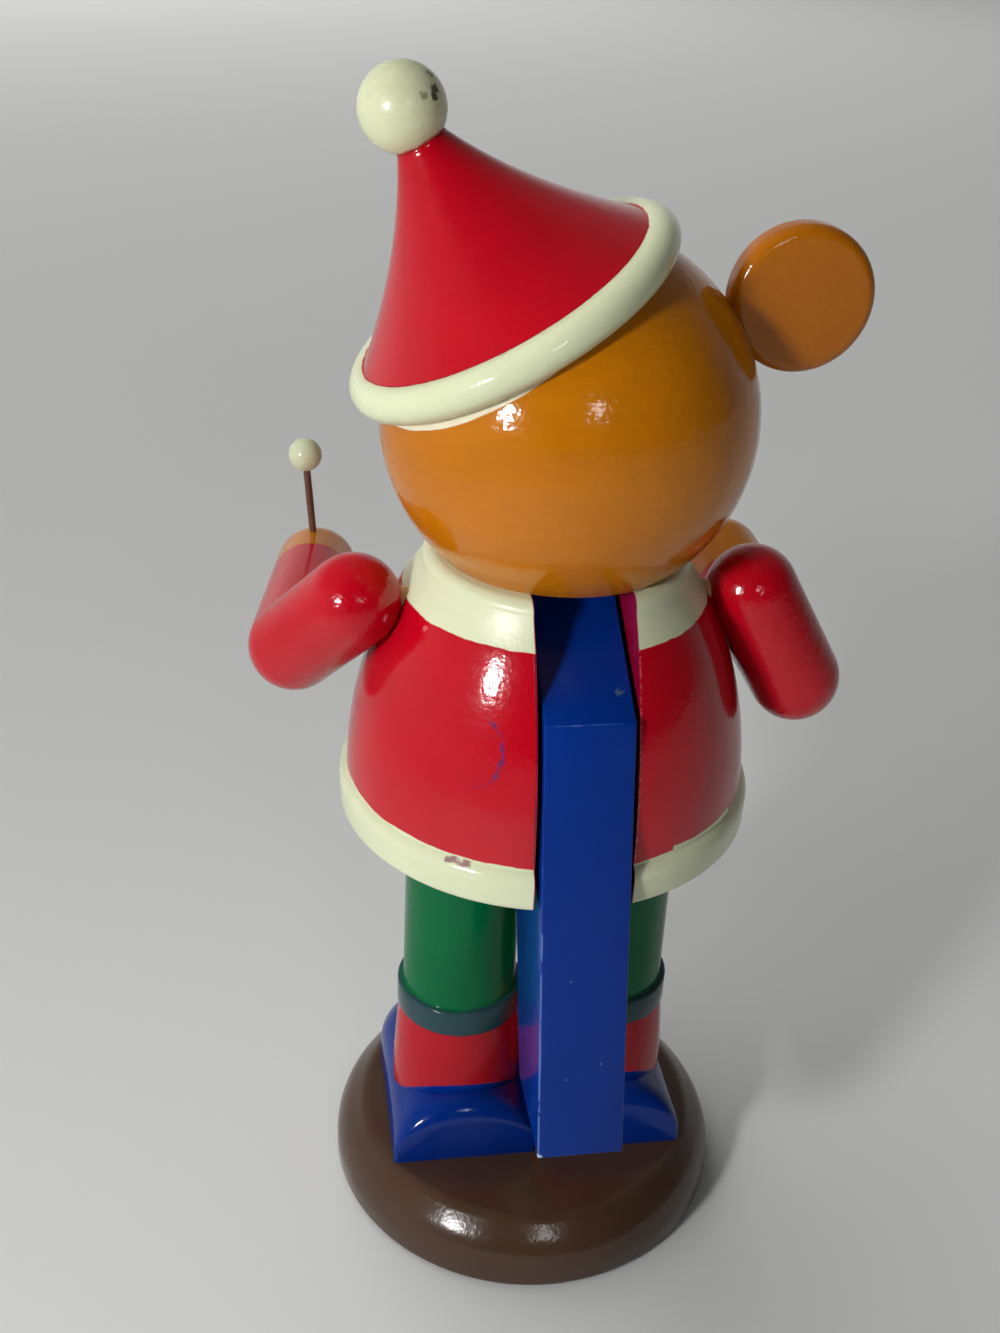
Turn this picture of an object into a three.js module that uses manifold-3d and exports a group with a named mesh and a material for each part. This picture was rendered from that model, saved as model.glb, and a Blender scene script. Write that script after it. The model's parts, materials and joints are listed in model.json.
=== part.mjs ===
// A turned wooden bear nutcracker on a round base, standing free, with a lever that works its jaw.
// Millimetres, +Z up, the bear faces -Y. The origin is the middle of the base's underside.
import * as THREE from 'three';
import { mergeVertices } from 'three/addons/utils/BufferGeometryUtils.js';
import Module from 'manifold-3d';

const wasm = await Module();
wasm.setup();

// Fits
const glueGap = 0.3; // round a piece that is glued or pinned into another
const pivotGap = 0.3; // round the pin in the lever's bore
const leverSideGap = 1.25; // each side of the lever in its slot
const pocketGap = 1.2; // round the turning front of the lever
const stopGap = 0.4; // where the lever comes to rest on the coat, shut and open

// Base
const baseRadius = 55.5;
const baseHeight = 19;
const baseTopRadius = 45.5; // of the flat top
const baseTopRound = 5;
const baseSideRound = 14;
const baseSideFoot = 5.3; // where that round starts, at the widest
const baseSlope = 45; // degrees, between the two rounds
const baseFootRound = 2.5;

// Shoes
const shoeWidth = 40.4;
const shoeGap = 1.4; // between the two shoes
const shoeHeight = 19;
const shoeWallHeight = 3.5; // straight sides under the oval
const shoeHeel = 24.5;
const shoeToe = 41;
const shoeToeDrop = 15;
const shoeToeSlope = 38; // the length over which the toe drops
const shoeHeelRound = 6.5;
const shoeSeatHeight = 7;

// Legs, one turned piece each: boot shaft, cuff band and trouser leg
const bootFootRadius = 18.2;
const bootTopRadius = 17;
const bootHeight = 31.3;
const cuffRadius = 17.3;
const cuffHeight = 8.3;
const cuffRound = 0.8;
const trouserFootRadius = 15.7;
const trouserTopRadius = 15.4;
const trouserHeight = 61.2;
const legDowelRadius = 4;
const ankleDowelDepth = 9;
const ankleDowelInLeg = 15;
const hipDowelDepth = 13;

// Coat, the turned body
const hemRadius = 52.8;
const hemHeight = 10.7;
const hemFootRound = 1.6;
const hemTopRound = 4;
const hemTopTurn = 60; // degrees of that round, up to the coat's side
const coatFootRadius = 50.8;
const coatChestRadius = 47.4;
const coatChestHeight = 36;
const coatShoulderRadius = 42.1;
const coatShoulderDrop = 20.3; // below the coat's top
const collarFootRadius = 37.3;
const collarHeight = 9.9;
const collarTopRadius = 32.7;
const collarRound = 3.2;
const coatHeight = 69.7;
const coatAside = 1.1; // of the coat's axis from the slot's middle, towards the bear's left

// Lever and its pin
const leverWidth = 21;
const leverEdgeRound = 0.4;
const pivotDrop = 23.3; // below the coat's top
const pivotBack = 2.2;
const creaseProud = 1.1; // of the coat's back
const tailDrop = 107; // from the crease down to the tail's end
const tailLean = 13.3; // degrees
const tailThickness = 28.5;
const leverTopSlope = 30; // degrees
const slotFront = 15.1;
const frontRecess = 5.5; // of the lever's round front behind the coat's
const frontDrop = 22; // degrees below the pivot that the lever's round front reaches
const chinAngle = 25; // degrees above the pivot where the chin starts
const jawOpening = 25; // degrees
const webHeight = 27; // of the lever's wood below the pivot
const webReach = 9; // of that wood's underside ahead of the pivot
const webBevel = 9; // off its corner with the tail
const pinRadius = 2;
const pinInFarWall = 19;
const pinInNearWall = 25;

// Jaw and mouth
const jawRise = 7.7; // of the jaw's top above the head's underside
const nutGap = 7.3;
const chinReach = 8.5; // ahead of the head's ball
const chinDepth = 8;
const mouthBackGap = 5.3;
const pocketFloorGap = 2.1;

// Head
const headRadius = 44;
const headSeatDrop = 32.1; // from the ball's centre to its flat underside
const headForward = 2.2;
const neckDowelRadius = 3;
const neckDowelSpread = 40;
const neckDowelDepth = 13;

// Face
const muzzleRadius = 14.5;
const muzzleReach = 14;
const muzzleRise = 1; // of the muzzle's lower edge above the mouth's roof
const muzzleFootDepth = 7; // of the muzzle's straight side into the ball's outline
const muzzleDowelRadius = 2;
const muzzleDowelDepth = 9;
const noseRadius = 5;
const noseTilt = 34; // degrees up from the muzzle's middle
const noseSink = 1.6;
const eyeRadius = 3.3;
const eyeShankRadius = 1.3;
const eyeShankLength = 7;
const eyeSpread = 19.5; // degrees from the middle
const eyeRise = 19; // degrees above the ball's middle

// Ear
const earRadius = 16.9;
const earThickness = 9;
const earRound = 2.8;
const earSink = 2.3; // of the ear's rim into the ball's outline
const earTilt = 61.3; // degrees from upright
const earBack = 1; // of the ear's middle behind the ball's middle
const earDowelRadius = 2;
const earDowelDepth = 8;

// Hat
const hatLean = 30.5; // degrees towards the bear's left
const brimInset = 7.4; // of the middle of the brim's round, from the ball's widest
const brimTube = 4.2;
const brimSink = 1.3; // of the brim's round into the ball's outline
const brimBoreInset = 3.1; // from the middle of the brim's round
const coneFootInset = 1.3; // from the middle of the brim's round
const coneTipRadius = 5.8;
const coneHeight = 36.6;
const coneHollow = 2.6; // of the cone's side, inwards at half height
const hatDowelRadius = 4;
const hatDowelDepth = 13;
const pompomRadius = 9.4;
const pompomDowelRadius = 2;
const pompomDowelDepth = 8;

// Arms
const armRadius = 11.5;
const pawRadius = 11;
const shoulderSink = 0.5; // of the arm's round end into the coat's outline
const shoulderBack = 3.1;
const shoulderDrop = 11.5; // below the coat's top
const upperArmLength = 28.1;
const upperArmSplay = 30; // degrees outwards
const forearmLength = 49.5;
const forearmToeIn = 8.6; // degrees
// Each arm is glued at its own angle: how far forward it swings, and how far its forearm points up
const armPose = {
  left: { swing: 37.3, pitch: -2 },
  right: { swing: -2.6, pitch: 13.2 },
};
const armDowelRadius = 3;
const shoulderDowelDepth = 10;
const elbowDowelRadius = 2;
const elbowDowelDepth = 7;

// Drumstick in the left paw
const stickRadius = 1;
const stickLength = 29;
const stickInPaw = 8;
const stickInBall = 3;
const stickLean = 4.2; // degrees outwards
const stickBallRadius = 4.5;

// Fineness of the round forms
const turnedSides = 40;
const armSides = 24;
const smallSides = 14;
const dowelSides = 12;
const arcSteps = 4;
const curveSteps = 8;
const weld = 1e-4;

// Working room for cutting blocks, past everything they cut
const beyond = 90;

// Places that follow from the sizes
const legX = (shoeWidth + shoeGap) / 2;
const legFoot = baseHeight + shoeSeatHeight;
const legLength = bootHeight + cuffHeight + trouserHeight;
const coatFoot = legFoot + legLength;
const headSeat = coatFoot + coatHeight;
const headCentre = headSeat + headSeatDrop;
const coatShoulderHeight = coatHeight - coatShoulderDrop;
const collarFootHeight = coatHeight - collarHeight;
const shoulderHeight = coatHeight - shoulderDrop;
const pivotHeight = coatHeight - pivotDrop;
const pivotZ = coatFoot + pivotHeight;
const slotWidth = leverWidth + 2 * leverSideGap;
const jawTop = headSeat + jawRise;
const mouthRoof = jawTop + nutGap;
const muzzleZ = mouthRoof - headCentre + muzzleRise + muzzleRadius;
const muzzleSeat = Math.sqrt(headRadius ** 2 - muzzleZ ** 2);
const brimRadius = headRadius - brimInset;
const brimBoreRadius = brimRadius - brimBoreInset;
const coneFootRadius = brimRadius - coneFootInset;

const radians = THREE.MathUtils.degToRad;
const axisX = new THREE.Vector3(1, 0, 0);
const axisY = new THREE.Vector3(0, 1, 0);
const axisZ = new THREE.Vector3(0, 0, 1);

const paint = {
  brown: { color: 0x42302a, roughness: 0.28, metalness: 0 },
  blue: { color: 0x062f8c, roughness: 0.25, metalness: 0 },
  green: { color: 0x0b6b3c, roughness: 0.28, metalness: 0 },
  red: { color: 0xbe0a20, roughness: 0.22, metalness: 0 },
  cream: { color: 0xdde4bf, roughness: 0.25, metalness: 0 },
  orange: { color: 0xb8730e, roughness: 0.22, metalness: 0 },
  black: { color: 0x141212, roughness: 0.2, metalness: 0 },
  stick: { color: 0x6b4a3a, roughness: 0.55, metalness: 0 },
  wood: { color: 0xcfae7d, roughness: 0.7, metalness: 0 },
  steel: { color: 0xb4b6b8, roughness: 0.35, metalness: 1 },
};

// Solids

function signedVolume(positions, corners) {
  const a = new THREE.Vector3();
  const b = new THREE.Vector3();
  const c = new THREE.Vector3();
  let total = 0;
  for (let i = 0; i < corners.length; i += 3) {
    a.fromArray(positions, corners[i] * 3);
    b.fromArray(positions, corners[i + 1] * 3);
    c.fromArray(positions, corners[i + 2] * 3);
    total += a.dot(b.cross(c));
  }
  return total;
}

// A closed geometry as a solid that can be joined and cut, its faces turned outwards.
function toSolid(geometry) {
  const bare = geometry.clone();
  bare.deleteAttribute('normal');
  bare.deleteAttribute('uv');
  const welded = mergeVertices(bare, weld);
  const positions = welded.attributes.position.array;
  const corners = [];
  for (let i = 0; i < welded.index.count; i += 3) {
    const [p, q, r] = welded.index.array.slice(i, i + 3);
    if (p !== q && q !== r && r !== p) corners.push(p, q, r);
  }
  if (signedVolume(positions, corners) < 0) corners.reverse();
  return new wasm.Manifold(new wasm.Mesh({
    numProp: 3,
    vertProperties: Float32Array.from(positions),
    triVerts: Uint32Array.from(corners),
  }));
}

function toMesh(name, solid, finish) {
  const { vertProperties, triVerts } = solid.getMesh();
  const geometry = new THREE.BufferGeometry();
  geometry.setAttribute('position', new THREE.BufferAttribute(vertProperties, 3));
  geometry.setIndex(new THREE.BufferAttribute(triVerts, 1));
  geometry.computeVertexNormals();
  const mesh = new THREE.Mesh(geometry, new THREE.MeshStandardMaterial(finish));
  mesh.name = name;
  return mesh;
}

const cutAll = (solid, cutters) => cutters.reduce((rest, cutter) => rest.subtract(cutter), solid);

// A form turned about Z from [radius, height] points.
function turned(points, sides = turnedSides) {
  const profile = points.map(([radius, height]) => new THREE.Vector2(radius, height));
  return new THREE.LatheGeometry(profile, sides).rotateX(Math.PI / 2);
}

// Turns a form made about Z so that it stands on a point and runs along a direction.
function along(geometry, from, direction) {
  const turn = new THREE.Quaternion().setFromUnitVectors(axisZ, direction.clone().normalize());
  return geometry.applyQuaternion(turn).translate(from.x, from.y, from.z);
}

function rod(from, to, radius, sides = dowelSides) {
  const direction = to.clone().sub(from);
  const length = direction.length();
  const points = [[0, 0], [radius, 0], [radius, length], [0, length]];
  return toSolid(along(turned(points, sides), from, direction));
}

function ball(centre, radius, sides = turnedSides) {
  const geometry = new THREE.SphereGeometry(radius, sides, sides / 2).rotateX(Math.PI / 2);
  return toSolid(geometry.translate(centre.x, centre.y, centre.z));
}

function block(low, high) {
  const geometry = new THREE.BoxGeometry(high[0] - low[0], high[1] - low[1], high[2] - low[2]);
  const middle = low.map((value, i) => (value + high[i]) / 2);
  return toSolid(geometry.translate(...middle));
}

// Points of an arc about a middle, from one angle to another in degrees.
function arc(middle, radius, fromAngle, toAngle, steps = arcSteps) {
  return Array.from({ length: steps + 1 }, (_, i) => {
    const angle = radians(fromAngle + (toAngle - fromAngle) * i / steps);
    return [middle[0] + radius * Math.cos(angle), middle[1] + radius * Math.sin(angle)];
  });
}

function outlineOf(points) {
  return new THREE.Shape(points.map(([a, b]) => new THREE.Vector2(a, b)));
}

// An outline in Y and Z, drawn through the given width along X.
function plank(points, width, edgeRound = 0) {
  const geometry = new THREE.ExtrudeGeometry(outlineOf(points), {
    depth: width - 2 * edgeRound,
    bevelEnabled: edgeRound > 0,
    bevelThickness: edgeRound,
    bevelSize: edgeRound,
    bevelOffset: -edgeRound,
    bevelSegments: 1,
  });
  geometry.translate(0, 0, edgeRound - width / 2);
  geometry.applyMatrix4(new THREE.Matrix4().makeBasis(axisY, axisZ, axisX));
  return toSolid(geometry);
}

// Coat outline: the radius at a height above the coat's underside

const coatSide = new THREE.SplineCurve([
  new THREE.Vector2(coatFootRadius, hemHeight),
  new THREE.Vector2(coatChestRadius, coatChestHeight),
  new THREE.Vector2(coatShoulderRadius, coatShoulderHeight),
  new THREE.Vector2(collarFootRadius, collarFootHeight),
]);

function coatOutline(grow = 0) {
  const side = coatSide.getPoints(curveSteps).map((point) => [point.x, point.y]);
  const hem = arc([hemRadius - hemFootRound, hemFootRound], hemFootRound, -90, 0);
  const hemTop = arc([hemRadius - hemTopRound, hemHeight - hemTopRound], hemTopRound, 0, hemTopTurn);
  const collar = arc([collarTopRadius, coatHeight - collarRound], collarRound, 0, 90);
  const rim = [...hem, ...hemTop, ...side, ...collar];
  return [[0, 0], ...rim.map(([radius, height]) => [radius + grow, height]), [0, coatHeight]];
}

function coatRadiusAt(height) {
  const points = coatSide.getPoints(curveSteps);
  const upper = points.findIndex((point) => point.y >= height);
  const [low, high] = [points[upper - 1], points[upper]];
  return low.x + (high.x - low.x) * (height - low.y) / (high.y - low.y);
}

// Lever outline, in Y and Z of the whole object

const creaseY = coatRadiusAt(pivotHeight) + creaseProud;
const topSlope = Math.tan(radians(leverTopSlope));
const frontRadius = coatRadiusAt(pivotHeight) + pivotBack - frontRecess;
const mouthBack = creaseY - (headSeat - pivotZ) / topSlope + mouthBackGap;
const jawTopBack = creaseY - (jawTop - pivotZ) / topSlope;
const headFrontAtJaw = headForward + Math.sqrt(headRadius ** 2 - (headCentre - jawTop) ** 2);
const chinY = -headFrontAtJaw - chinReach;
const front = arc([pivotBack, pivotZ], frontRadius, 180 - chinAngle, 180 + frontDrop);
const chinFoot = [chinY, jawTop - chinDepth];

// The height of one of the lever's points once the jaw is fully open.
function openHeight([y, z]) {
  const opening = radians(jawOpening);
  return pivotZ + (y - pivotBack) * Math.sin(opening) + (z - pivotZ) * Math.cos(opening);
}

const pocketFloor = openHeight(front.at(-1)) - pocketFloorGap;
const notchFloor = Math.min(openHeight(chinFoot), openHeight(front[0])) - stopGap;

function leverOutline() {
  const tailEndZ = pivotZ - tailDrop;
  const tailEndY = creaseY + tailDrop * Math.tan(radians(tailLean));
  const tailFrontY = slotFront + stopGap;
  return [
    [tailEndY, tailEndZ],
    [creaseY, pivotZ],
    [jawTopBack, jawTop],
    [chinY, jawTop],
    chinFoot,
    ...front,
    [pivotBack - webReach, pivotZ - webHeight],
    [tailFrontY - webBevel, pivotZ - webHeight],
    [tailFrontY, pocketFloor + pocketGap],
    [tailFrontY, coatFoot],
    [tailEndY - tailThickness, tailEndZ],
  ];
}

const pivotAt = (x) => new THREE.Vector3(x, pivotBack, pivotZ);
const nearPinEnd = -slotWidth / 2 - pinInNearWall;
const farPinEnd = slotWidth / 2 + pinInFarWall;

function lever() {
  const hole = rod(pivotAt(-leverWidth), pivotAt(leverWidth), pinRadius + pivotGap);
  return toMesh('lever', plank(leverOutline(), leverWidth, leverEdgeRound).subtract(hole), paint.blue);
}

function pivotPin() {
  return toMesh('pivot_pin', rod(pivotAt(nearPinEnd), pivotAt(farPinEnd), pinRadius), paint.steel);
}

function pinPlug(coatForm) {
  const plug = rod(pivotAt(-beyond), pivotAt(nearPinEnd - glueGap), pinRadius);
  return toMesh('pin_plug', plug.intersect(coatForm), paint.red);
}

// Base, shoes and legs

function base() {
  const outline = [
    [0, 0],
    ...arc([baseRadius - baseFootRound, baseFootRound], baseFootRound, -90, 0),
    ...arc([baseRadius - baseSideRound, baseSideFoot], baseSideRound, 0, baseSlope),
    ...arc([baseTopRadius, baseHeight - baseTopRound], baseTopRound, baseSlope, 90),
    [0, baseHeight],
  ];
  const holes = [-legX, legX].map((x) => ankleDowelForm(x, glueGap));
  return toMesh('base', cutAll(toSolid(turned(outline)), holes), paint.brown);
}

function ankleDowelForm(x, gap) {
  const low = new THREE.Vector3(x, 0, baseHeight - ankleDowelDepth - gap);
  const high = new THREE.Vector3(x, 0, legFoot + ankleDowelInLeg + gap);
  return rod(low, high, legDowelRadius + gap);
}

function hipDowelForm(x, gap) {
  const low = new THREE.Vector3(x, 0, coatFoot - hipDowelDepth - gap);
  const high = new THREE.Vector3(x, 0, coatFoot + hipDowelDepth + gap);
  return rod(low, high, legDowelRadius + gap);
}

// A loaf of half-oval section, with its toe rounded seen from above and from the side.
function shoeForm() {
  const half = shoeWidth / 2;
  const section = new THREE.Shape();
  section.moveTo(-half, 0);
  section.lineTo(half, 0);
  section.absellipse(0, shoeWallHeight, half, shoeHeight - shoeWallHeight, 0, Math.PI, false, 0);
  const loaf = new THREE.ExtrudeGeometry(section, {
    depth: 2 * beyond,
    bevelEnabled: false,
    curveSegments: smallSides,
  });
  loaf.translate(0, 0, -beyond);
  loaf.applyMatrix4(new THREE.Matrix4().makeBasis(axisX, axisZ, axisY.clone().negate()));
  const plan = outlineOf([
    [-half, shoeHeel],
    ...arc([0, half - shoeToe], half, 180, 360, 2 * arcSteps),
    [half, shoeHeel],
  ]);
  const sole = new THREE.ExtrudeGeometry(plan, { depth: shoeHeight, bevelEnabled: false });
  const toeRound = arc([0, 0], 1, 180, 90).map(([across, up]) => [
    shoeToeSlope * (across + 1) - shoeToe,
    shoeHeight - shoeToeDrop + shoeToeDrop * up,
  ]);
  const heelRound = arc([shoeHeel - shoeHeelRound, shoeHeight - shoeHeelRound], shoeHeelRound, 90, 0);
  const sideView = [[-shoeToe, 0], ...toeRound, ...heelRound, [shoeHeel, 0]];
  const form = toSolid(loaf).intersect(toSolid(sole)).intersect(plank(sideView, shoeWidth));
  return form.translate([0, 0, baseHeight]);
}

function shoe(side, x) {
  const boot = rod(
    new THREE.Vector3(0, 0, legFoot),
    new THREE.Vector3(0, 0, legFoot + beyond),
    bootFootRadius + glueGap,
    turnedSides,
  );
  const solid = cutAll(shoeForm(), [boot, ankleDowelForm(0, glueGap)]);
  const mesh = toMesh(`${side}_shoe`, solid, paint.blue);
  mesh.position.x = x;
  return mesh;
}

function leg(side, x) {
  const cuffFoot = bootHeight;
  const cuffTop = bootHeight + cuffHeight;
  const outline = [
    [0, 0],
    [bootFootRadius, 0],
    [bootFootRadius, shoeHeight - shoeSeatHeight],
    [bootTopRadius, cuffFoot - cuffRound],
    [cuffRadius, cuffFoot],
    [cuffRadius, cuffTop - cuffRound],
    [cuffRadius - cuffRound, cuffTop],
    [trouserFootRadius, cuffTop],
    [trouserTopRadius, legLength],
    [0, legLength],
  ];
  const form = toSolid(turned(outline, armSides).translate(0, 0, legFoot));
  const solid = cutAll(form, [ankleDowelForm(0, glueGap), hipDowelForm(0, glueGap)]);
  const mesh = toMesh(`${side}_leg`, solid, paint.green);
  mesh.position.x = x;
  return mesh;
}

// Coat with its lever slot, and what is drilled into it

const neckDowelForm = (x, gap) => rod(
  new THREE.Vector3(x, -headForward, headSeat - neckDowelDepth - gap),
  new THREE.Vector3(x, -headForward, headSeat + neckDowelDepth + gap),
  neckDowelRadius + gap,
);

// The slot lets the lever's tail out behind, its round front turn inside and its chin drop in front.
function leverSlot() {
  const half = slotWidth / 2;
  const pocket = rod(pivotAt(-half), pivotAt(half), frontRadius + pocketGap, turnedSides);
  const aboveFloor = block([-half, -beyond, pocketFloor], [half, beyond, headSeat + beyond]);
  const behind = block([-half, slotFront, 0], [half, beyond, headSeat + beyond]);
  const notch = block([-half, -beyond, notchFloor], [half, slotFront, headSeat + beyond]);
  return pocket.intersect(aboveFloor).add(behind).add(notch);
}

function coatForm(grow = 0) {
  return toSolid(turned(coatOutline(grow)).translate(coatAside, 0, coatFoot));
}

function coat(form, arms) {
  const holes = [
    leverSlot(),
    rod(pivotAt(-beyond), pivotAt(farPinEnd + glueGap), pinRadius + glueGap),
    ...[-legX, legX].map((x) => hipDowelForm(x, glueGap)),
    ...[-1, 1].map((hand) => neckDowelForm(hand * neckDowelSpread / 2, glueGap)),
    ...arms.map((arm) => arm.shoulderDowel(glueGap)),
  ];
  return toMesh('coat_body', cutAll(form, holes), paint.red);
}

// Arms: a round-ended upper arm and forearm, mitred at the elbow

// A round-ended bar whose two ends may differ in radius.
function armBar(from, to, startRadius, endRadius) {
  const direction = to.clone().sub(from);
  const points = [
    ...arc([0, 0], startRadius, -90, 0),
    ...arc([0, direction.length()], endRadius, 0, 90),
  ];
  return toSolid(along(turned(points, armSides), from, direction));
}

// Everything on the side of a plane that its normal points to.
function beyondPlane(point, normal) {
  const geometry = new THREE.BoxGeometry(2 * beyond, 2 * beyond, beyond);
  geometry.translate(0, 0, beyond / 2);
  return toSolid(along(geometry, point, normal));
}

// The places of one arm: shoulder, elbow and paw middles, and the mitre plane's direction.
function armPlaces(side, hand) {
  const { swing, pitch } = armPose[side];
  const shoulder = new THREE.Vector3(
    coatAside + hand * (coatRadiusAt(shoulderHeight) + armRadius - shoulderSink),
    shoulderBack,
    coatFoot + shoulderHeight,
  );
  const down = axisZ.clone().negate()
    .applyAxisAngle(axisY, -hand * radians(upperArmSplay))
    .applyAxisAngle(axisX, -radians(swing));
  const forward = axisY.clone().negate()
    .applyAxisAngle(axisX, -radians(pitch))
    .applyAxisAngle(axisZ, -hand * radians(forearmToeIn));
  const elbow = shoulder.clone().addScaledVector(down, upperArmLength);
  const paw = elbow.clone().addScaledVector(forward, forearmLength);
  const mitre = down.clone().add(forward).normalize().negate();
  return { shoulder, elbow, paw, mitre };
}

function makeArm(side, hand) {
  const { shoulder, elbow, paw, mitre } = armPlaces(side, hand);
  const dowelFoot = coatRadiusAt(shoulderHeight) - shoulderDowelDepth;
  const shoulderDowel = (gap) => rod(
    new THREE.Vector3(coatAside + hand * (dowelFoot - gap), shoulder.y, shoulder.z),
    new THREE.Vector3(shoulder.x + hand * gap, shoulder.y, shoulder.z),
    armDowelRadius + gap,
  );
  const elbowDowel = (gap) => rod(
    elbow.clone().addScaledVector(mitre, -elbowDowelDepth - gap),
    elbow.clone().addScaledVector(mitre, elbowDowelDepth + gap),
    elbowDowelRadius + gap,
  );
  const upperArm = cutAll(armBar(shoulder, elbow, armRadius, armRadius), [
    beyondPlane(elbow.clone().addScaledVector(mitre, glueGap / 2), mitre.clone().negate()),
    coatForm(glueGap),
    shoulderDowel(glueGap),
    elbowDowel(glueGap),
  ]);
  const forearm = cutAll(armBar(elbow, paw, armRadius, pawRadius), [
    beyondPlane(elbow.clone().addScaledVector(mitre, -glueGap / 2), mitre),
    elbowDowel(glueGap),
  ]);
  return { side, hand, paw, shoulderDowel, elbowDowel, upperArm, forearm };
}

function stickForm(arm, gap) {
  const lean = axisZ.clone().applyAxisAngle(axisY, arm.hand * radians(stickLean));
  const foot = pawRadius - stickInPaw;
  return {
    rod: rod(
      arm.paw.clone().addScaledVector(lean, foot - gap),
      arm.paw.clone().addScaledVector(lean, foot + stickLength + gap),
      stickRadius + gap,
      smallSides,
    ),
    ballCentre: arm.paw.clone()
      .addScaledVector(lean, foot + stickLength + stickBallRadius - stickInBall),
  };
}

function armMeshes(arm, holdsStick) {
  const { side } = arm;
  const stickHole = stickForm(arm, glueGap).rod;
  const forearm = holdsStick ? arm.forearm.subtract(stickHole) : arm.forearm;
  const meshes = [
    toMesh(`${side}_shoulder_dowel`, arm.shoulderDowel(0), paint.wood),
    toMesh(`${side}_upper_arm`, arm.upperArm, paint.red),
    toMesh(`${side}_elbow_dowel`, arm.elbowDowel(0), paint.wood),
    toMesh(`${side}_forearm`, forearm, paint.red),
  ];
  if (!holdsStick) return meshes;
  const stick = stickForm(arm, 0);
  const stickBall = ball(stick.ballCentre, stickBallRadius, smallSides).subtract(stickHole);
  return [
    ...meshes,
    toMesh('drumstick', stick.rod, paint.stick),
    toMesh('drumstick_ball', stickBall, paint.cream),
  ];
}

// Head and face, about the middle of the head's ball

const origin = new THREE.Vector3();

// A point at a distance from the ball's middle, turned aside and up from straight ahead.
function ahead(distance, aside, up) {
  return new THREE.Vector3(
    distance * Math.sin(radians(aside)) * Math.cos(radians(up)),
    -distance * Math.cos(radians(aside)) * Math.cos(radians(up)),
    distance * Math.sin(radians(up)),
  );
}

const earDirection = new THREE.Vector3(-Math.sin(radians(earTilt)), 0, Math.cos(radians(earTilt)));
const earCentre = earDirection.clone().multiplyScalar(headRadius + earRadius - earSink);
earCentre.y = earBack;

function hatDowelForm(gap) {
  const low = new THREE.Vector3(0, 0, headRadius - hatDowelDepth - gap);
  const high = new THREE.Vector3(0, 0, headRadius + hatDowelDepth + gap);
  return rod(low, high, hatDowelRadius + gap);
}

function earDowelForm(gap) {
  const low = earDirection.clone().multiplyScalar(headRadius - earDowelDepth - gap);
  const high = earDirection.clone().multiplyScalar(headRadius + earDowelDepth + gap);
  low.y = earBack;
  high.y = earBack;
  return rod(low, high, earDowelRadius + gap);
}

function muzzleDowelForm(gap) {
  const inHead = new THREE.Vector3(0, muzzleDowelDepth + gap - muzzleSeat, muzzleZ);
  const inMuzzle = new THREE.Vector3(0, -muzzleDowelDepth - gap - muzzleSeat, muzzleZ);
  return rod(inMuzzle, inHead, muzzleDowelRadius + gap);
}

// A low dome with a straight side, turned about the Y axis.
function muzzleForm(grow = 0) {
  const dome = arc([0, 0], 1, 0, 90, 2 * arcSteps).map(([out, up]) => [
    (muzzleRadius + grow) * out,
    (muzzleReach + grow) * up + muzzleFootDepth,
  ]);
  const points = [[0, 0], [muzzleRadius + grow, 0], ...dome];
  const foot = new THREE.Vector3(0, muzzleFootDepth - muzzleSeat, muzzleZ);
  return toSolid(along(turned(points, armSides), foot, axisY.clone().negate()));
}

function noseCentre() {
  const tilt = radians(noseTilt);
  const proud = noseRadius - noseSink;
  return new THREE.Vector3(
    0,
    -muzzleSeat - (muzzleReach + proud) * Math.cos(tilt),
    muzzleZ + (muzzleRadius + proud) * Math.sin(tilt),
  );
}

function eyeShank(hand, gap) {
  const from = ahead(headRadius - eyeShankLength - gap, hand * eyeSpread, eyeRise);
  const to = ahead(headRadius + glueGap, hand * eyeSpread, eyeRise);
  return rod(from, to, eyeShankRadius + gap);
}

function eye(hand) {
  const bead = ball(ahead(headRadius, hand * eyeSpread, eyeRise), eyeRadius, smallSides);
  return bead.subtract(ball(origin, headRadius + glueGap)).add(eyeShank(hand, 0));
}

function headBall() {
  const half = slotWidth / 2;
  const leaningDowel = hatDowelForm(glueGap).rotate([0, hatLean, 0]);
  const mouth = block(
    [-half, -beyond, -headRadius - beyond],
    [half, mouthBack + headForward, mouthRoof - headCentre],
  );
  const neckHoles = [-1, 1].map((hand) => neckDowelForm(hand * neckDowelSpread / 2, glueGap)
    .translate([0, headForward, -headCentre]));
  return cutAll(ball(origin, headRadius), [
    block([-beyond, -beyond, -beyond - headRadius], [beyond, beyond, -headSeatDrop]),
    mouth,
    leaningDowel,
    earDowelForm(glueGap),
    muzzleDowelForm(glueGap),
    ...[-1, 1].map((hand) => eyeShank(hand, glueGap)),
    ...neckHoles,
  ]);
}

function ear() {
  const flat = earThickness / 2;
  const points = [
    [0, -flat],
    ...arc([earRadius - earRound, earRound - flat], earRound, -90, 0),
    ...arc([earRadius - earRound, flat - earRound], earRound, 0, 90),
    [0, flat],
  ];
  const disc = toSolid(along(turned(points, armSides), earCentre, axisY));
  return cutAll(disc, [ball(origin, headRadius + glueGap), earDowelForm(glueGap)]);
}

// Hat, turned about its own leaning axis through the middle of the head's ball

const brimHeight = Math.sqrt((headRadius + brimTube - brimSink) ** 2 - brimRadius ** 2);
const coneFoot = brimHeight + glueGap
  + Math.sqrt(brimTube ** 2 - (brimRadius - coneFootRadius) ** 2);
const coneTip = coneFoot + coneHeight;
const pompomHeight = coneTip + Math.sqrt(pompomRadius ** 2 - coneTipRadius ** 2);

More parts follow.
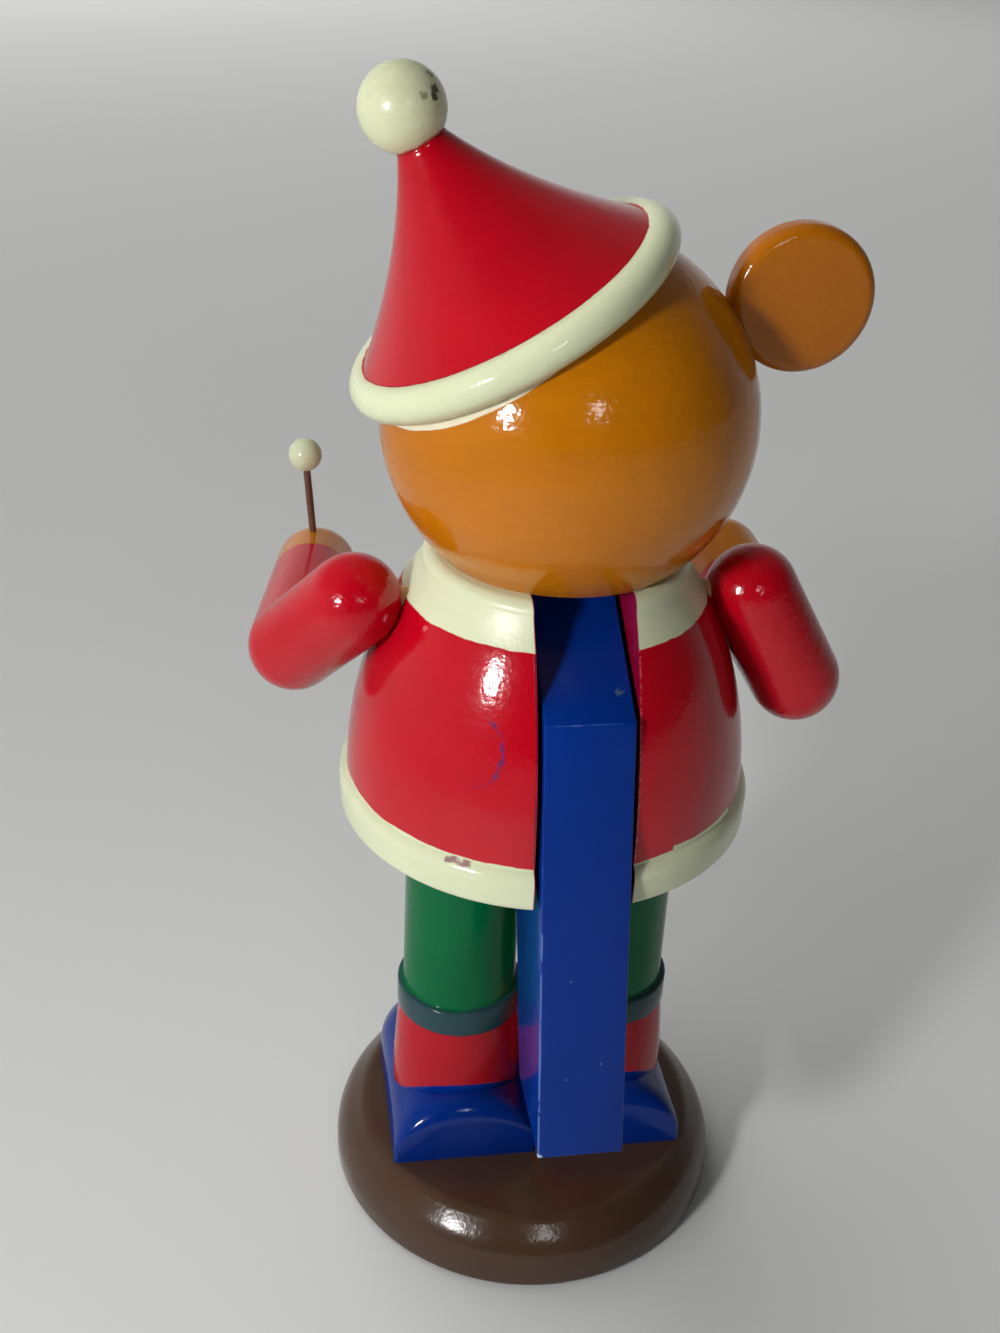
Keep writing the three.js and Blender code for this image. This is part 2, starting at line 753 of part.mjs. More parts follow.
function pompomDowelForm(gap) {
  const seat = pompomHeight - pompomRadius;
  const low = new THREE.Vector3(0, 0, seat - pompomDowelDepth - gap);
  const high = new THREE.Vector3(0, 0, seat + pompomDowelDepth + gap);
  return rod(low, high, pompomDowelRadius + gap);
}

function hatCone() {
  const foot = new THREE.Vector2(coneFootRadius, coneFoot);
  const tip = new THREE.Vector2(coneTipRadius, coneTip);
  const bend = foot.clone().add(tip).multiplyScalar(0.5);
  bend.x -= 2 * coneHollow;
  const side = new THREE.QuadraticBezierCurve(foot, bend, tip).getPoints(curveSteps);
  const spigot = brimBoreRadius - glueGap;
  const points = [
    [0, 0],
    [spigot, 0],
    [spigot, coneFoot],
    ...side.map((point) => [point.x, point.y]),
    [0, coneTip],
  ];
  return cutAll(toSolid(turned(points)), [
    ball(origin, headRadius + glueGap),
    ball(new THREE.Vector3(0, 0, pompomHeight), pompomRadius + glueGap, armSides),
    hatDowelForm(glueGap),
    pompomDowelForm(glueGap),
  ]);
}

function hatBrim() {
  const section = arc([brimRadius, brimHeight], brimTube, 0, 360, 2 * arcSteps);
  const bore = rod(origin, new THREE.Vector3(0, 0, beyond), brimBoreRadius, turnedSides);
  return cutAll(toSolid(turned(section)), [bore, ball(origin, headRadius + glueGap)]);
}

function hat() {
  const centre = new THREE.Vector3(0, 0, pompomHeight);
  const group = new THREE.Group();
  group.rotation.y = radians(hatLean);
  group.add(
    toMesh('hat_dowel', hatDowelForm(0), paint.wood),
    toMesh('hat_cone', hatCone(), paint.red),
    toMesh('hat_brim', hatBrim(), paint.cream),
    toMesh('pompom_dowel', pompomDowelForm(0), paint.wood),
    toMesh('pompom', ball(centre, pompomRadius, armSides).subtract(pompomDowelForm(glueGap)),
      paint.cream),
  );
  return group;
}

function head() {
  const group = new THREE.Group();
  const muzzle = muzzleForm().subtract(ball(origin, headRadius + glueGap));
  const nose = ball(noseCentre(), noseRadius, smallSides);
  group.position.set(0, -headForward, headCentre);
  group.add(
    toMesh('head', headBall(), paint.orange),
    toMesh('muzzle_dowel', muzzleDowelForm(0), paint.wood),
    toMesh('muzzle', muzzle.subtract(muzzleDowelForm(glueGap)), paint.orange),
    toMesh('nose', nose.subtract(muzzleForm(glueGap)), paint.black),
    toMesh('left_eye', eye(1), paint.black),
    toMesh('right_eye', eye(-1), paint.black),
    toMesh('ear_dowel', earDowelForm(0), paint.wood),
    toMesh('right_ear', ear(), paint.orange),
    hat(),
  );
  return group;
}

// The whole nutcracker

const bear = new THREE.Group();
const sides = [['left', 1], ['right', -1]];
const arms = sides.map(([side, hand]) => makeArm(side, hand));
bear.add(base());
sides.forEach(([side, hand]) => {
  const x = hand * legX;
  bear.add(
    shoe(side, x),
    toMesh(`${side}_ankle_dowel`, ankleDowelForm(x, 0), paint.wood),
    leg(side, x),
    toMesh(`${side}_hip_dowel`, hipDowelForm(x, 0), paint.wood),
    toMesh(`${side}_neck_dowel`, neckDowelForm(hand * neckDowelSpread / 2, 0), paint.wood),
  );
});
bear.add(coat(coatForm(), arms), lever(), pivotPin(), pinPlug(coatForm()));
arms.forEach((arm) => bear.add(...armMeshes(arm, arm.side === 'left')));
bear.add(head());

export default bear;
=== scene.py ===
import bpy
import json
from math import asin, cos, degrees, pi, radians, sin, sqrt, tan, tau
from mathutils import Matrix, Vector


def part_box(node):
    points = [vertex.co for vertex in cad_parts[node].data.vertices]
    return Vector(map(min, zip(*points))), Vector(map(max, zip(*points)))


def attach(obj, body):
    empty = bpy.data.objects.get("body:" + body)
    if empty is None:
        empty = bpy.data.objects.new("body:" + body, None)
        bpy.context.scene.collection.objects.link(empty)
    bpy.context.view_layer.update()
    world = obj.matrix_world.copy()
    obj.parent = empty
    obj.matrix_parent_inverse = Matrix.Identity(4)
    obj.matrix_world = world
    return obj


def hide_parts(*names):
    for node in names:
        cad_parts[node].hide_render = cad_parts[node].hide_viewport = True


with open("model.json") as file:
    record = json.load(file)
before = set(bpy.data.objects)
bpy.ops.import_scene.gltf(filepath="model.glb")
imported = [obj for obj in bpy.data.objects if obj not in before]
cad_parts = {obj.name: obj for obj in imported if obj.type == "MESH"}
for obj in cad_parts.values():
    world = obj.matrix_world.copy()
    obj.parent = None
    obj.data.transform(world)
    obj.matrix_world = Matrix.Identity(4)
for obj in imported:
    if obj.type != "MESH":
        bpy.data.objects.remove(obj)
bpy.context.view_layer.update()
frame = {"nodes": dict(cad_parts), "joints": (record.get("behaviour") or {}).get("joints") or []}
nodes = frame["nodes"]
print("frame loaded:", len(nodes), "nodes")

mm = 0.001  # sizes below are in millimetres and degrees
weld = 0.002  # points this close become one
up, forwards, backwards = Vector((0, 0, 1)), Vector((0, -1, 0)), Vector((0, 1, 0))
hands = (("left", 1), ("right", -1))  # the bear's left is towards +X


def deselect():
    if bpy.context.mode != 'OBJECT':
        bpy.ops.object.mode_set(mode='OBJECT')
    bpy.ops.object.select_all(action='DESELECT')


def choose(piece):
    deselect()
    piece.select_set(True)
    bpy.context.view_layer.objects.active = piece


def arcPoints(middle, radius, fromAngle, toAngle, steps=8):
    angles = [radians(fromAngle + (toAngle - fromAngle) * i / steps) for i in range(steps + 1)]
    return [(middle[0] + radius * cos(a), middle[1] + radius * sin(a)) for a in angles]


def bulge(start, end, radius, steps=24):
    # an arc from one point up to another that swells outwards between them
    start, end = Vector(start), Vector(end)
    half = (end - start) / 2
    inwards = Vector((-half.y, half.x)).normalized()
    middle = start + half + inwards * sqrt(radius ** 2 - half.length_squared)
    angles = [degrees(asin((point.y - middle.y) / radius)) for point in (start, end)]
    return arcPoints(middle, radius, *angles, steps)


def drawChain(name, points):
    # a chain of edges through the points, left in edit mode
    deselect()
    bpy.ops.mesh.primitive_plane_add(size=1 * mm)
    piece = bpy.context.object
    piece.name = piece.data.name = name
    bpy.ops.object.mode_set(mode='EDIT')
    bpy.ops.mesh.select_all(action='SELECT')
    bpy.ops.mesh.merge(type='CENTER')
    places = [Vector(point) * mm for point in points]
    bpy.ops.transform.translate(value=places[0])
    for last, place in zip(places, places[1:]):
        bpy.ops.mesh.extrude_region_move(TRANSFORM_OT_translate={"value": place - last})
    bpy.ops.mesh.select_all(action='SELECT')
    return piece


def faceOutwards():
    bpy.ops.mesh.select_all(action='SELECT')
    bpy.ops.mesh.normals_make_consistent(inside=False)


def setInPlace(piece, foot, direction):
    # stands a piece made about Z on a point, along a direction
    choose(piece)
    piece.rotation_euler = up.rotation_difference(direction).to_euler()
    piece.location = Vector(foot) * mm
    bpy.ops.object.transform_apply(location=True, rotation=True, scale=True)
    return piece


def turnPiece(name, outline, foot=(0, 0, 0), direction=up, sides=128):
    # turned on the lathe from (radius, height) points
    piece = drawChain(name, [(radius, 0, height) for radius, height in outline])
    bpy.ops.mesh.spin(steps=sides, angle=tau, center=(0, 0, 0), axis=up)
    bpy.ops.mesh.select_all(action='SELECT')
    bpy.ops.mesh.remove_doubles(threshold=weld * mm)
    faceOutwards()
    return setInPlace(piece, foot, direction)


def ball(name, centre, radius, sides=64):
    return turnPiece(name, arcPoints((0, 0), radius, -90, 90, steps=sides // 2), centre, sides=sides)


def block(low, high):
    deselect()
    low, high = Vector(low) * mm, Vector(high) * mm
    bpy.ops.mesh.primitive_cube_add(size=1, location=(low + high) / 2, scale=high - low)
    return bpy.context.object


def carve(piece, *cutters, operation='DIFFERENCE'):
    for cutter in cutters:
        choose(piece)
        cut = piece.modifiers.new("cut", 'BOOLEAN')
        cut.operation = operation
        cut.solver = 'EXACT'
        cut.object = cutter
        bpy.ops.object.modifier_apply(modifier=cut.name)
        bpy.data.objects.remove(cutter)
    return piece


def sawOff(piece, point, normal, keepAhead):
    # cuts a piece off at a plane and closes the cut
    choose(piece)
    bpy.ops.object.mode_set(mode='EDIT')
    bpy.ops.mesh.select_all(action='SELECT')
    bpy.ops.mesh.bisect(plane_co=Vector(point) * mm, plane_no=normal, use_fill=True,
                        clear_inner=keepAhead, clear_outer=not keepAhead)
    bpy.ops.object.mode_set(mode='OBJECT')


def finishPiece(piece, material, node, body="figure", angle=32):
    choose(piece)
    bpy.ops.object.shade_smooth_by_angle(angle=radians(angle))
    piece.data.materials.clear()
    piece.data.materials.append(material)
    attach(piece, body)
    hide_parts(node)


def finishPair(piece, name, spacing, material, node, angle=32):
    # the left one as it was made, and the right one as a copy with its own mesh
    choose(piece)
    bpy.ops.object.duplicate()
    other = bpy.context.object
    other.name = other.data.name = "right" + name
    setInPlace(other, (-2 * spacing, 0, 0), up)
    finishPiece(piece, material, "left_" + node, angle=angle)
    finishPiece(other, material, "right_" + node, angle=angle)


def paintColor(red, green, blue):
    # a colour as it is read off a picture, 0 to 255
    def linear(value):
        value /= 255
        return value / 12.92 if value <= 0.04045 else ((value + 0.055) / 1.055) ** 2.4
    return (linear(red), linear(green), linear(blue), 1)


def emptyTree(owner):
    owner.use_nodes = True
    owner.node_tree.nodes.clear()
    return owner.node_tree


def addNode(tree, kind, sockets, **choices):
    made = tree.nodes.new(kind)
    for name, value in choices.items():
        setattr(made, name, value)
    for key, value in sockets.items():
        if isinstance(value, bpy.types.NodeSocket):
            tree.links.new(value, made.inputs[key])
        else:
            made.inputs[key].default_value = value
    return made


def reckon(tree, operation, *values, clamp=False):
    return addNode(tree, 'ShaderNodeMath', dict(enumerate(values)),
                   operation=operation, use_clamp=clamp).outputs[0]


def addUp(tree, values):
    total = values[0]
    for value in values[1:]:
        total = reckon(tree, 'ADD', total, value)
    return total


def vectorMath(tree, operation, *values):
    made = addNode(tree, 'ShaderNodeVectorMath', dict(enumerate(values)), operation=operation)
    return made.outputs['Value' if operation in ('DOT_PRODUCT', 'DISTANCE', 'LENGTH') else 'Vector']


def scaled(tree, vector, factor):
    return addNode(tree, 'ShaderNodeVectorMath', {0: vector, 'Scale': factor},
                   operation='SCALE').outputs[0]


def mixColor(tree, share, under, over, blend='MIX'):
    # sockets 6 and 7 are the node's two colours, and output 2 is their mix
    return addNode(tree, 'ShaderNodeMix', {0: share, 6: under, 7: over},
                   data_type='RGBA', blend_type=blend).outputs[2]


def noise(tree, place, size, stretch=(1, 1, 1), detail=2, roughness=0.5, shift=(0, 0, 0)):
    # soft random spots of a size, around 0
    stretched = addNode(tree, 'ShaderNodeMapping', {
        'Vector': place, 'Location': shift, 'Scale': [1 / (size * s) for s in stretch]}).outputs[0]
    clouds = addNode(tree, 'ShaderNodeTexNoise', {
        'Vector': stretched, 'Scale': 1, 'Detail': detail, 'Roughness': roughness}).outputs[0]
    return reckon(tree, 'SUBTRACT', clouds, 0.5)


def startMaterial(name):
    # an empty material, and the place on its piece in millimetres
    material = bpy.data.materials.new(name)
    tree = emptyTree(material)
    place = scaled(tree, addNode(tree, 'ShaderNodeTexCoord', {}).outputs['Object'], 1 / mm)
    return material, tree, place


def endMaterial(tree, color, roughness, height, gloss=0.5, ior=1.5, metallic=0):
    bump = addNode(tree, 'ShaderNodeBump', {'Strength': 1, 'Distance': mm, 'Height': height})
    shader = addNode(tree, 'ShaderNodeBsdfPrincipled', {
        'Base Color': color, 'Roughness': roughness, 'Metallic': metallic, 'IOR': ior,
        'Specular IOR Level': gloss, 'Normal': bump.outputs[0]})
    addNode(tree, 'ShaderNodeOutputMaterial', {'Surface': shader.outputs[0]})


# each of the shapes that paint fills, from here to inSpots, gives how deep a place lies inside it
def beyond(tree, place, direction, distance):
    # past a plane at a distance from the origin
    return reckon(tree, 'SUBTRACT', vectorMath(tree, 'DOT_PRODUCT', place, direction), distance)


def band(tree, place, direction, low, high):
    # between two parallel planes
    off = reckon(tree, 'ABSOLUTE', beyond(tree, place, direction, (low + high) / 2))
    return reckon(tree, 'SUBTRACT', (high - low) / 2, off)


def inBall(tree, place, centre, radius):
    return reckon(tree, 'SUBTRACT', radius, vectorMath(tree, 'DISTANCE', place, centre))


def fromLine(tree, place, point, direction):
    away = vectorMath(tree, 'SUBTRACT', place, point)
    return vectorMath(tree, 'LENGTH', vectorMath(tree, 'CROSS_PRODUCT', away, direction))


def inPipe(tree, place, point, direction, radius):
    # round an endless line
    return reckon(tree, 'SUBTRACT', radius, fromLine(tree, place, point, direction))


def inHoop(tree, place, point, direction, radius, wall):
    # in a thin wall round an endless line
    out = reckon(tree, 'SUBTRACT', fromLine(tree, place, point, direction), radius)
    return reckon(tree, 'SUBTRACT', wall, reckon(tree, 'ABSOLUTE', out))


def inRing(tree, place, centre, axis, radius, tube, lean):
    # round a circle about an axis, thicker to the side it leans to
    away = vectorMath(tree, 'SUBTRACT', place, centre)
    height = vectorMath(tree, 'DOT_PRODUCT', away, axis)
    out = reckon(tree, 'SUBTRACT', fromLine(tree, place, centre, axis), radius)
    squares = reckon(tree, 'MULTIPLY_ADD', height, height, reckon(tree, 'MULTIPLY', out, out))
    wall = reckon(tree, 'ADD', vectorMath(tree, 'DOT_PRODUCT', away, lean), tube)
    return reckon(tree, 'SUBTRACT', wall, reckon(tree, 'SQRT', squares))


def inOvals(tree, place, spacing, foot, width, height):
    # a pair of half ovals, one to each side of the middle, drawn through along Y
    parts = addNode(tree, 'ShaderNodeSeparateXYZ', {0: place}).outputs
    across = reckon(tree, 'SUBTRACT', reckon(tree, 'ABSOLUTE', parts['X']), spacing)
    across = reckon(tree, 'DIVIDE', across, width)
    rise = reckon(tree, 'DIVIDE', reckon(tree, 'SUBTRACT', parts['Z'], foot), height)
    squares = reckon(tree, 'MULTIPLY_ADD', across, across, reckon(tree, 'MULTIPLY', rise, rise))
    return reckon(tree, 'MULTIPLY', reckon(tree, 'SUBTRACT', 1, reckon(tree, 'SQRT', squares)), height)


def inSpots(tree, place, size, share, shift):
    # random spots of a size, more of them at a higher share
    spots = noise(tree, place, size, detail=3, roughness=0.6, shift=shift)
    return reckon(tree, 'MULTIPLY', reckon(tree, 'ADD', spots, share - 0.5), 2 * size)


# planes and bands square to the figure, as they stand in a zone
def above(z):
    return (beyond, (0, 0, 1), z)


def below(z):
    return (beyond, (0, 0, -1), -z)


def behind(y):
    return (beyond, (0, 1, 0), y)


def ahead(y):
    return (beyond, (0, -1, 0), -y)


def aside(fromX, toX):
    return (band, (1, 0, 0), fromX, toX)


def level(fromZ, toZ):
    return (band, (0, 0, 1), fromZ, toZ)


zoneDefaults = {
    "wobble": 0.35,  # how far its hand-painted edge strays
    "slowSize": 14, "slowShare": 4, "quickSize": 2.2,  # the edge's long and short waves
    "soft": 0.22,  # width over which the edge fades
    "rise": 0.05,  # thickness of its paint
    "dull": 0,  # roughness that it adds
    "shade": 0.92,  # its darker clouds, as a share of its colour
}
paintDefaults = {
    "shade": None,  # the colour of its darker clouds, 0.86 of the colour where none is given
    "cloudSize": 24, "clouds": 1.2, "cloudDulls": 0.08,
    "streakSize": 2.5, "grain": (1, 1, 1), "streaks": 0.10, "streakDulls": 0.06,  # brush marks
    "roughness": 0.13, "gloss": 0.5,
    "peelSize": 1.2, "peel": 0.045, "swellSize": 9, "swell": 0.10, "brush": 0.014,  # relief
    "nibSpacing": 7, "nibRadius": 0.3, "nibRise": 0.06, "nibTint": 0.35, "nibColor": (70, 50, 40),
    "zones": [],
}


def zoneMask(tree, place, zone):
    depths = [shape(tree, place, *sizes) for shape, *sizes in zone["where"]]
    depth = depths[0]
    for other in depths[1:]:
        depth = reckon(tree, 'MINIMUM', depth, other)
    if zone["wobble"]:
        slow = reckon(tree, 'MULTIPLY', noise(tree, place, zone["slowSize"]),
                      zone["slowShare"] * zone["wobble"])
        quick = reckon(tree, 'MULTIPLY', noise(tree, place, zone["quickSize"], detail=3),
                       zone.get("ragged", zone["wobble"]))
        depth = addUp(tree, [depth, slow, quick])
    return reckon(tree, 'ADD', reckon(tree, 'DIVIDE', depth, zone["soft"]), 0.5, clamp=True)


def dustNibs(tree, place, spacing, radius):
    # single specks of dust under the paint, of uneven size
    cells = addNode(tree, 'ShaderNodeTexVoronoi', {'Vector': place, 'Scale': 1 / spacing}).outputs
    away = reckon(tree, 'MULTIPLY', cells['Distance'], spacing)
    chance = addNode(tree, 'ShaderNodeSeparateColor', {0: cells['Color']}).outputs[0]
    reach = reckon(tree, 'MULTIPLY', reckon(tree, 'POWER', chance, 3), radius)
    return reckon(tree, 'DIVIDE', reckon(tree, 'SUBTRACT', reach, away), radius * 0.5, clamp=True)


def enamel(name, paint):
    # brushed gloss enamel over turned wood, with hand-painted zones
    paint = {**paintDefaults, **paint}
    material, tree, place = startMaterial(name)
    clouds = noise(tree, place, paint["cloudSize"], detail=3)
    streaks = noise(tree, place, paint["streakSize"], paint["grain"], detail=3, roughness=0.6)
    peel = noise(tree, place, paint["peelSize"], detail=1)
    swell = noise(tree, place, paint["swellSize"], detail=2)
    nibs = dustNibs(tree, place, paint["nibSpacing"], paint["nibRadius"])

    cloudShare = reckon(tree, 'MULTIPLY_ADD', clouds, paint["clouds"], 0.5, clamp=True)
    shade = paint["shade"] or [0.86 * c for c in paint["color"]]
    color = mixColor(tree, cloudShare, paintColor(*paint["color"]), paintColor(*shade))
    relief, dullness = [], []
    for zone in [{**zoneDefaults, **zone} for zone in paint["zones"]]:
        mask = zoneMask(tree, place, zone)
        tint = mixColor(tree, cloudShare, paintColor(*zone["color"]),
                        paintColor(*[zone["shade"] * c for c in zone["color"]]))
        color = mixColor(tree, mask, color, tint)
        relief.append(reckon(tree, 'MULTIPLY', mask, zone["rise"]))
        if zone["dull"]:
            dullness.append(reckon(tree, 'MULTIPLY', mask, zone["dull"]))
    color = mixColor(tree, reckon(tree, 'MULTIPLY', nibs, paint["nibTint"]), color,
                     paintColor(*paint["nibColor"]))
    color = scaled(tree, color, reckon(tree, 'MULTIPLY_ADD', streaks, paint["streaks"], 1))

    relief += [reckon(tree, 'MULTIPLY', marks, height) for marks, height in (
        (peel, paint["peel"]), (swell, paint["swell"]), (streaks, paint["brush"]), (nibs, paint["nibRise"]))]
    roughness = addUp(tree, [
        reckon(tree, 'MULTIPLY_ADD', clouds, paint["cloudDulls"], paint["roughness"]),
        reckon(tree, 'MULTIPLY', streaks, paint["streakDulls"]), *dullness])
    endMaterial(tree, color, roughness, addUp(tree, relief), paint["gloss"], ior=1.46)
    return material


glueGap = 0.06  # left round a glued piece
slotHalf = 11.75  # half the width of the lever's slot
pivot = Vector(frame["joints"][0]["pos_m"]) / mm
pin = {"radius": 2, "play": 0.3, "end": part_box("pivot_pin")[1].x / mm}

# dust nibs on red are tinted pale pink: a painted highlight where the bumps catch light
red, redShade, redNibHighlight = (190, 5, 28), (172, 2, 24), (235, 140, 130)
cream, creamNibs = (216, 222, 186), (150, 140, 110)
orange = (196, 118, 8)
blue = (0, 42, 128)
green = (0, 105, 58)
black = (20, 18, 18)


def pivotBar(fromX, toX, radius, sides=64):
    # a round bar along the pin's line
    deselect()
    bpy.ops.mesh.primitive_cylinder_add(
        vertices=sides, radius=radius * mm, depth=(toX - fromX) * mm, rotation=(0, pi / 2, 0),
        location=Vector(((fromX + toX) / 2, pivot.y, pivot.z)) * mm)
    bpy.ops.object.transform_apply(location=True, rotation=True, scale=True)
    return bpy.context.object


base = {
    "radius": 55.5, "height": 19, "topRadius": 45.5, "topRound": 5, "sideRound": 14, "sideFoot": 5.3,
    "slope": 45, "footRound": 2.5, "innerRing": 25,
}


def makeBase(material):
    foot, side, top = base["footRound"], base["sideRound"], base["topRound"]
    piece = turnPiece("brownBase", [
        (0, 0),
        *arcPoints((base["radius"] - foot, foot), foot, -90, 0),
        *arcPoints((base["radius"] - side, base["sideFoot"]), side, 0, base["slope"], steps=16),
        *arcPoints((base["topRadius"], base["height"] - top), top, base["slope"], 90, steps=12),
        (base["innerRing"], base["height"]), (0, base["height"]),
    ], sides=160)
    finishPiece(piece, material, "base")


makeBase(enamel("brownEnamel", {
    "color": (78, 56, 42), "shade": (62, 42, 30), "roughness": 0.2, "nibColor": (150, 130, 110),
    "nibSpacing": 6, "nibRadius": 0.4, "brush": 0.02, "streakSize": 3, "swell": 0.14,
}))
print("base done")


shoe = {
    "foot": base["height"], "half": 20.2, "height": 19, "wall": 3.5, "heel": 24.5, "toe": -41,
    "toeDrop": 15, "toeSlope": 38, "tipHalf": 0.1, "heelRound": 6.5, "sideRound": 1.2,
    "spacing": 20.9,  # from the middle of the figure
    "seat": 7, "bootRadius": 18.2, "bootHole": 30,  # where the leg stands in it
    "heelSteps": (0, 0.12, 0.4, 0.8, 1.2, 1.9, 2.8, 3.8, 5, 6.5),  # closest where it curves most
    "sideSteps": 8, "toeSteps": 12, "toeShare": 0.999, "archSteps": 56,
}


def shoeTop(y):
    # the height of the section at a station
    if y > shoe["heel"] - shoe["heelRound"]:
        back = y - shoe["heel"] + shoe["heelRound"]
        return shoe["height"] - shoe["heelRound"] + sqrt(max(0, shoe["heelRound"] ** 2 - back ** 2))
    if y > shoe["toe"] + shoe["toeSlope"]:
        return shoe["height"]
    across = (y - shoe["toe"]) / shoe["toeSlope"] - 1
    return shoe["height"] - shoe["toeDrop"] + shoe["toeDrop"] * sqrt(max(0, 1 - across ** 2))


def shoeHalf(y):
    # half the width of the section at a station
    half, corner = shoe["half"], shoe["sideRound"]
    if y > shoe["heel"] - corner:
        return half - corner + sqrt(max(0, corner ** 2 - (y - shoe["heel"] + corner) ** 2))
    past = min(0, y - shoe["toe"] - half)
    return sqrt(max(shoe["tipHalf"] ** 2, half ** 2 - past ** 2))


def shoeStations():
    sideStart, toeStart = shoe["heel"] - shoe["heelRound"], shoe["toe"] + shoe["half"]
    heel = [shoe["heel"] - back for back in shoe["heelSteps"]]
    side = [sideStart + (toeStart - sideStart) * i / shoe["sideSteps"]
            for i in range(1, shoe["sideSteps"] + 1)]
    toe = [toeStart - shoe["toeShare"] * shoe["half"] * sin(pi / 2 * i / shoe["toeSteps"])
           for i in range(1, shoe["toeSteps"] + 1)]
    return heel + side + toe


def makeShoes(material):
    # a half-oval section drawn at the heel, then extruded forwards station by station
    x, half, stations = shoe["spacing"], shoe["half"], shoeStations()
    arch = [(half * c, shoe["wall"] + (shoe["height"] - shoe["wall"]) * s)
            for c, s in arcPoints((0, 0), 1, 180, 0, shoe["archSteps"])]
    piece = drawChain("leftShoe", [(x + across, shoe["heel"], shoe["foot"] + rise)
                                   for across, rise in [(-half, 0), *arch, (half, 0)]])
    bpy.ops.mesh.edge_face_add()
    middle = Vector((x, shoe["heel"], shoe["foot"])) * mm
    bpy.ops.transform.resize(
        value=(shoeHalf(shoe["heel"]) / half, 1, shoeTop(shoe["heel"]) / shoe["height"]),
        center_override=middle)
    for last, y in zip(stations, stations[1:]):
        bpy.ops.mesh.extrude_region_move(TRANSFORM_OT_translate={"value": forwards * (last - y) * mm})
        middle.y = y * mm
        bpy.ops.transform.resize(value=(shoeHalf(y) / shoeHalf(last), 1, shoeTop(y) / shoeTop(last)),
                                 center_override=middle)
    faceOutwards()
    hole, depth = shoe["bootRadius"] + glueGap, shoe["bootHole"]
    carve(piece, turnPiece("bootHole", [(0, 0), (hole, 0), (hole, depth), (0, depth)],
                           (x, 0, shoe["foot"] + shoe["seat"])))
    finishPair(piece, "Shoe", shoe["spacing"], material, "shoe", angle=40)


makeShoes(enamel("shoeBlue", {
    "color": blue, "shade": (2, 36, 108), "roughness": 0.14, "gloss": 0.35, "nibColor": (120, 130, 160),
    "nibSpacing": 6, "brush": 0.02, "grain": (1, 6, 1),
}))
print("shoes done")


leg = {
    "foot": shoe["foot"] + shoe["seat"], "bootFoot": shoe["bootRadius"], "bootStraight": 38,
    "bootWaist": (17.25, 52), "cuff": 17.3, "cuffFoot": 57.3, "cuffTop": 65.6, "cuffRound": 0.8,
    "trouserFoot": 15.7, "fillet": 0.5, "trouserWaist": (15.6, 90), "trouserTop": 15.4, "top": 126.7,
}


def makeLegs(material):
    edge, fillet = leg["cuffRound"], leg["fillet"]
    piece = turnPiece("leftLeg", [
        (0, leg["foot"]), (leg["bootFoot"], leg["foot"]), (leg["bootFoot"], leg["bootStraight"]),
        leg["bootWaist"],
        *arcPoints((leg["cuff"] - edge, leg["cuffFoot"] + edge), edge, -90, 0, steps=5),
        *arcPoints((leg["cuff"] - edge, leg["cuffTop"] - edge), edge, 0, 90, steps=5),
        *arcPoints((leg["trouserFoot"] + fillet, leg["cuffTop"] + fillet), fillet, 270, 180, steps=4),
        leg["trouserWaist"], (leg["trouserTop"], leg["top"]), (0, leg["top"]),
    ], (shoe["spacing"], 0, 0))
    finishPair(piece, "Leg", shoe["spacing"], material, "leg")


makeLegs(enamel("legColours", {
    "color": green, "shade": (0, 86, 50), "roughness": 0.15, "gloss": 0.2, "nibColor": (160, 180, 150),
    "grain": (1, 1, 8), "brush": 0.02,
    "zones": [
        {"color": (44, 72, 78), "where": [below(leg["cuffTop"] + 0.1)], "wobble": 0.25},
        {"color": (176, 22, 36), "where": [below(leg["cuffFoot"] - 0.1)]},
        # the shoe's blue laps over the boot
        {"color": blue, "where": [(inOvals, shoe["spacing"], 22.5, 19, 18)], "wobble": 0.45, "rise": 0.08},
    ],
}))
print("legs done")


coat = {
    "foot": Vector((1.1, 0, 126.8)), "height": 69.7, "sides": 192,
    "hemRadius": 52.8, "hemHeight": 10.7, "hemFootRound": 1.6, "hemTopRound": 4, "hemTurn": 60,
    "sideFoot": 50.8, "sideTop": 37.3, "sideBulge": 105,
    "collarHeight": 9.9, "collarTop": 32.7, "collarRound": 3.2,
    "slotFront": 15.1, "pocketRadius": 41.4, "pocketFloor": 141.7, "notchFloor": 172.7, "notchBack": 30,
    "cutReach": 80, "cutFoot": 110, "cutTop": 210,  # the cutters end past the coat
    "boreStart": -60, "plugStart": -56, "plugEnd": -38,
}


def coatForm(name, grow=0):
    foot, top, collar = coat["hemFootRound"], coat["hemTopRound"], coat["collarRound"]
    rim = [
        *arcPoints((coat["hemRadius"] - foot, foot), foot, -90, 0, steps=6),
        *arcPoints((coat["hemRadius"] - top, coat["hemHeight"] - top), top, 0, coat["hemTurn"]),
        *bulge((coat["sideFoot"], coat["hemHeight"]),
               (coat["sideTop"], coat["height"] - coat["collarHeight"]), coat["sideBulge"]),
        *arcPoints((coat["collarTop"] - collar, coat["height"] - collar), collar, 0, 90),
    ]
    outline = [(0, 0), *[(radius + grow, height) for radius, height in rim], (0, coat["height"])]
    return turnPiece(name, outline, coat["foot"], sides=coat["sides"])


def makeCoat(material):
    piece = coatForm("coatBody")
    pocket = pivotBar(-slotHalf, slotHalf, coat["pocketRadius"], 128)
    sawOff(pocket, (0, 0, coat["pocketFloor"]), up, keepAhead=True)
    slot = block((-slotHalf, coat["slotFront"], coat["cutFoot"]),
                 (slotHalf, coat["cutReach"], coat["cutTop"]))
    notch = block((-slotHalf, -coat["cutReach"], coat["notchFloor"]),
                  (slotHalf, coat["notchBack"], coat["cutTop"]))
    pinBore = pivotBar(coat["boreStart"], pin["end"] + pin["play"], pin["radius"] + glueGap)
    carve(piece, pocket, slot, notch, pinBore)
    finishPiece(piece, material, "coat_body")


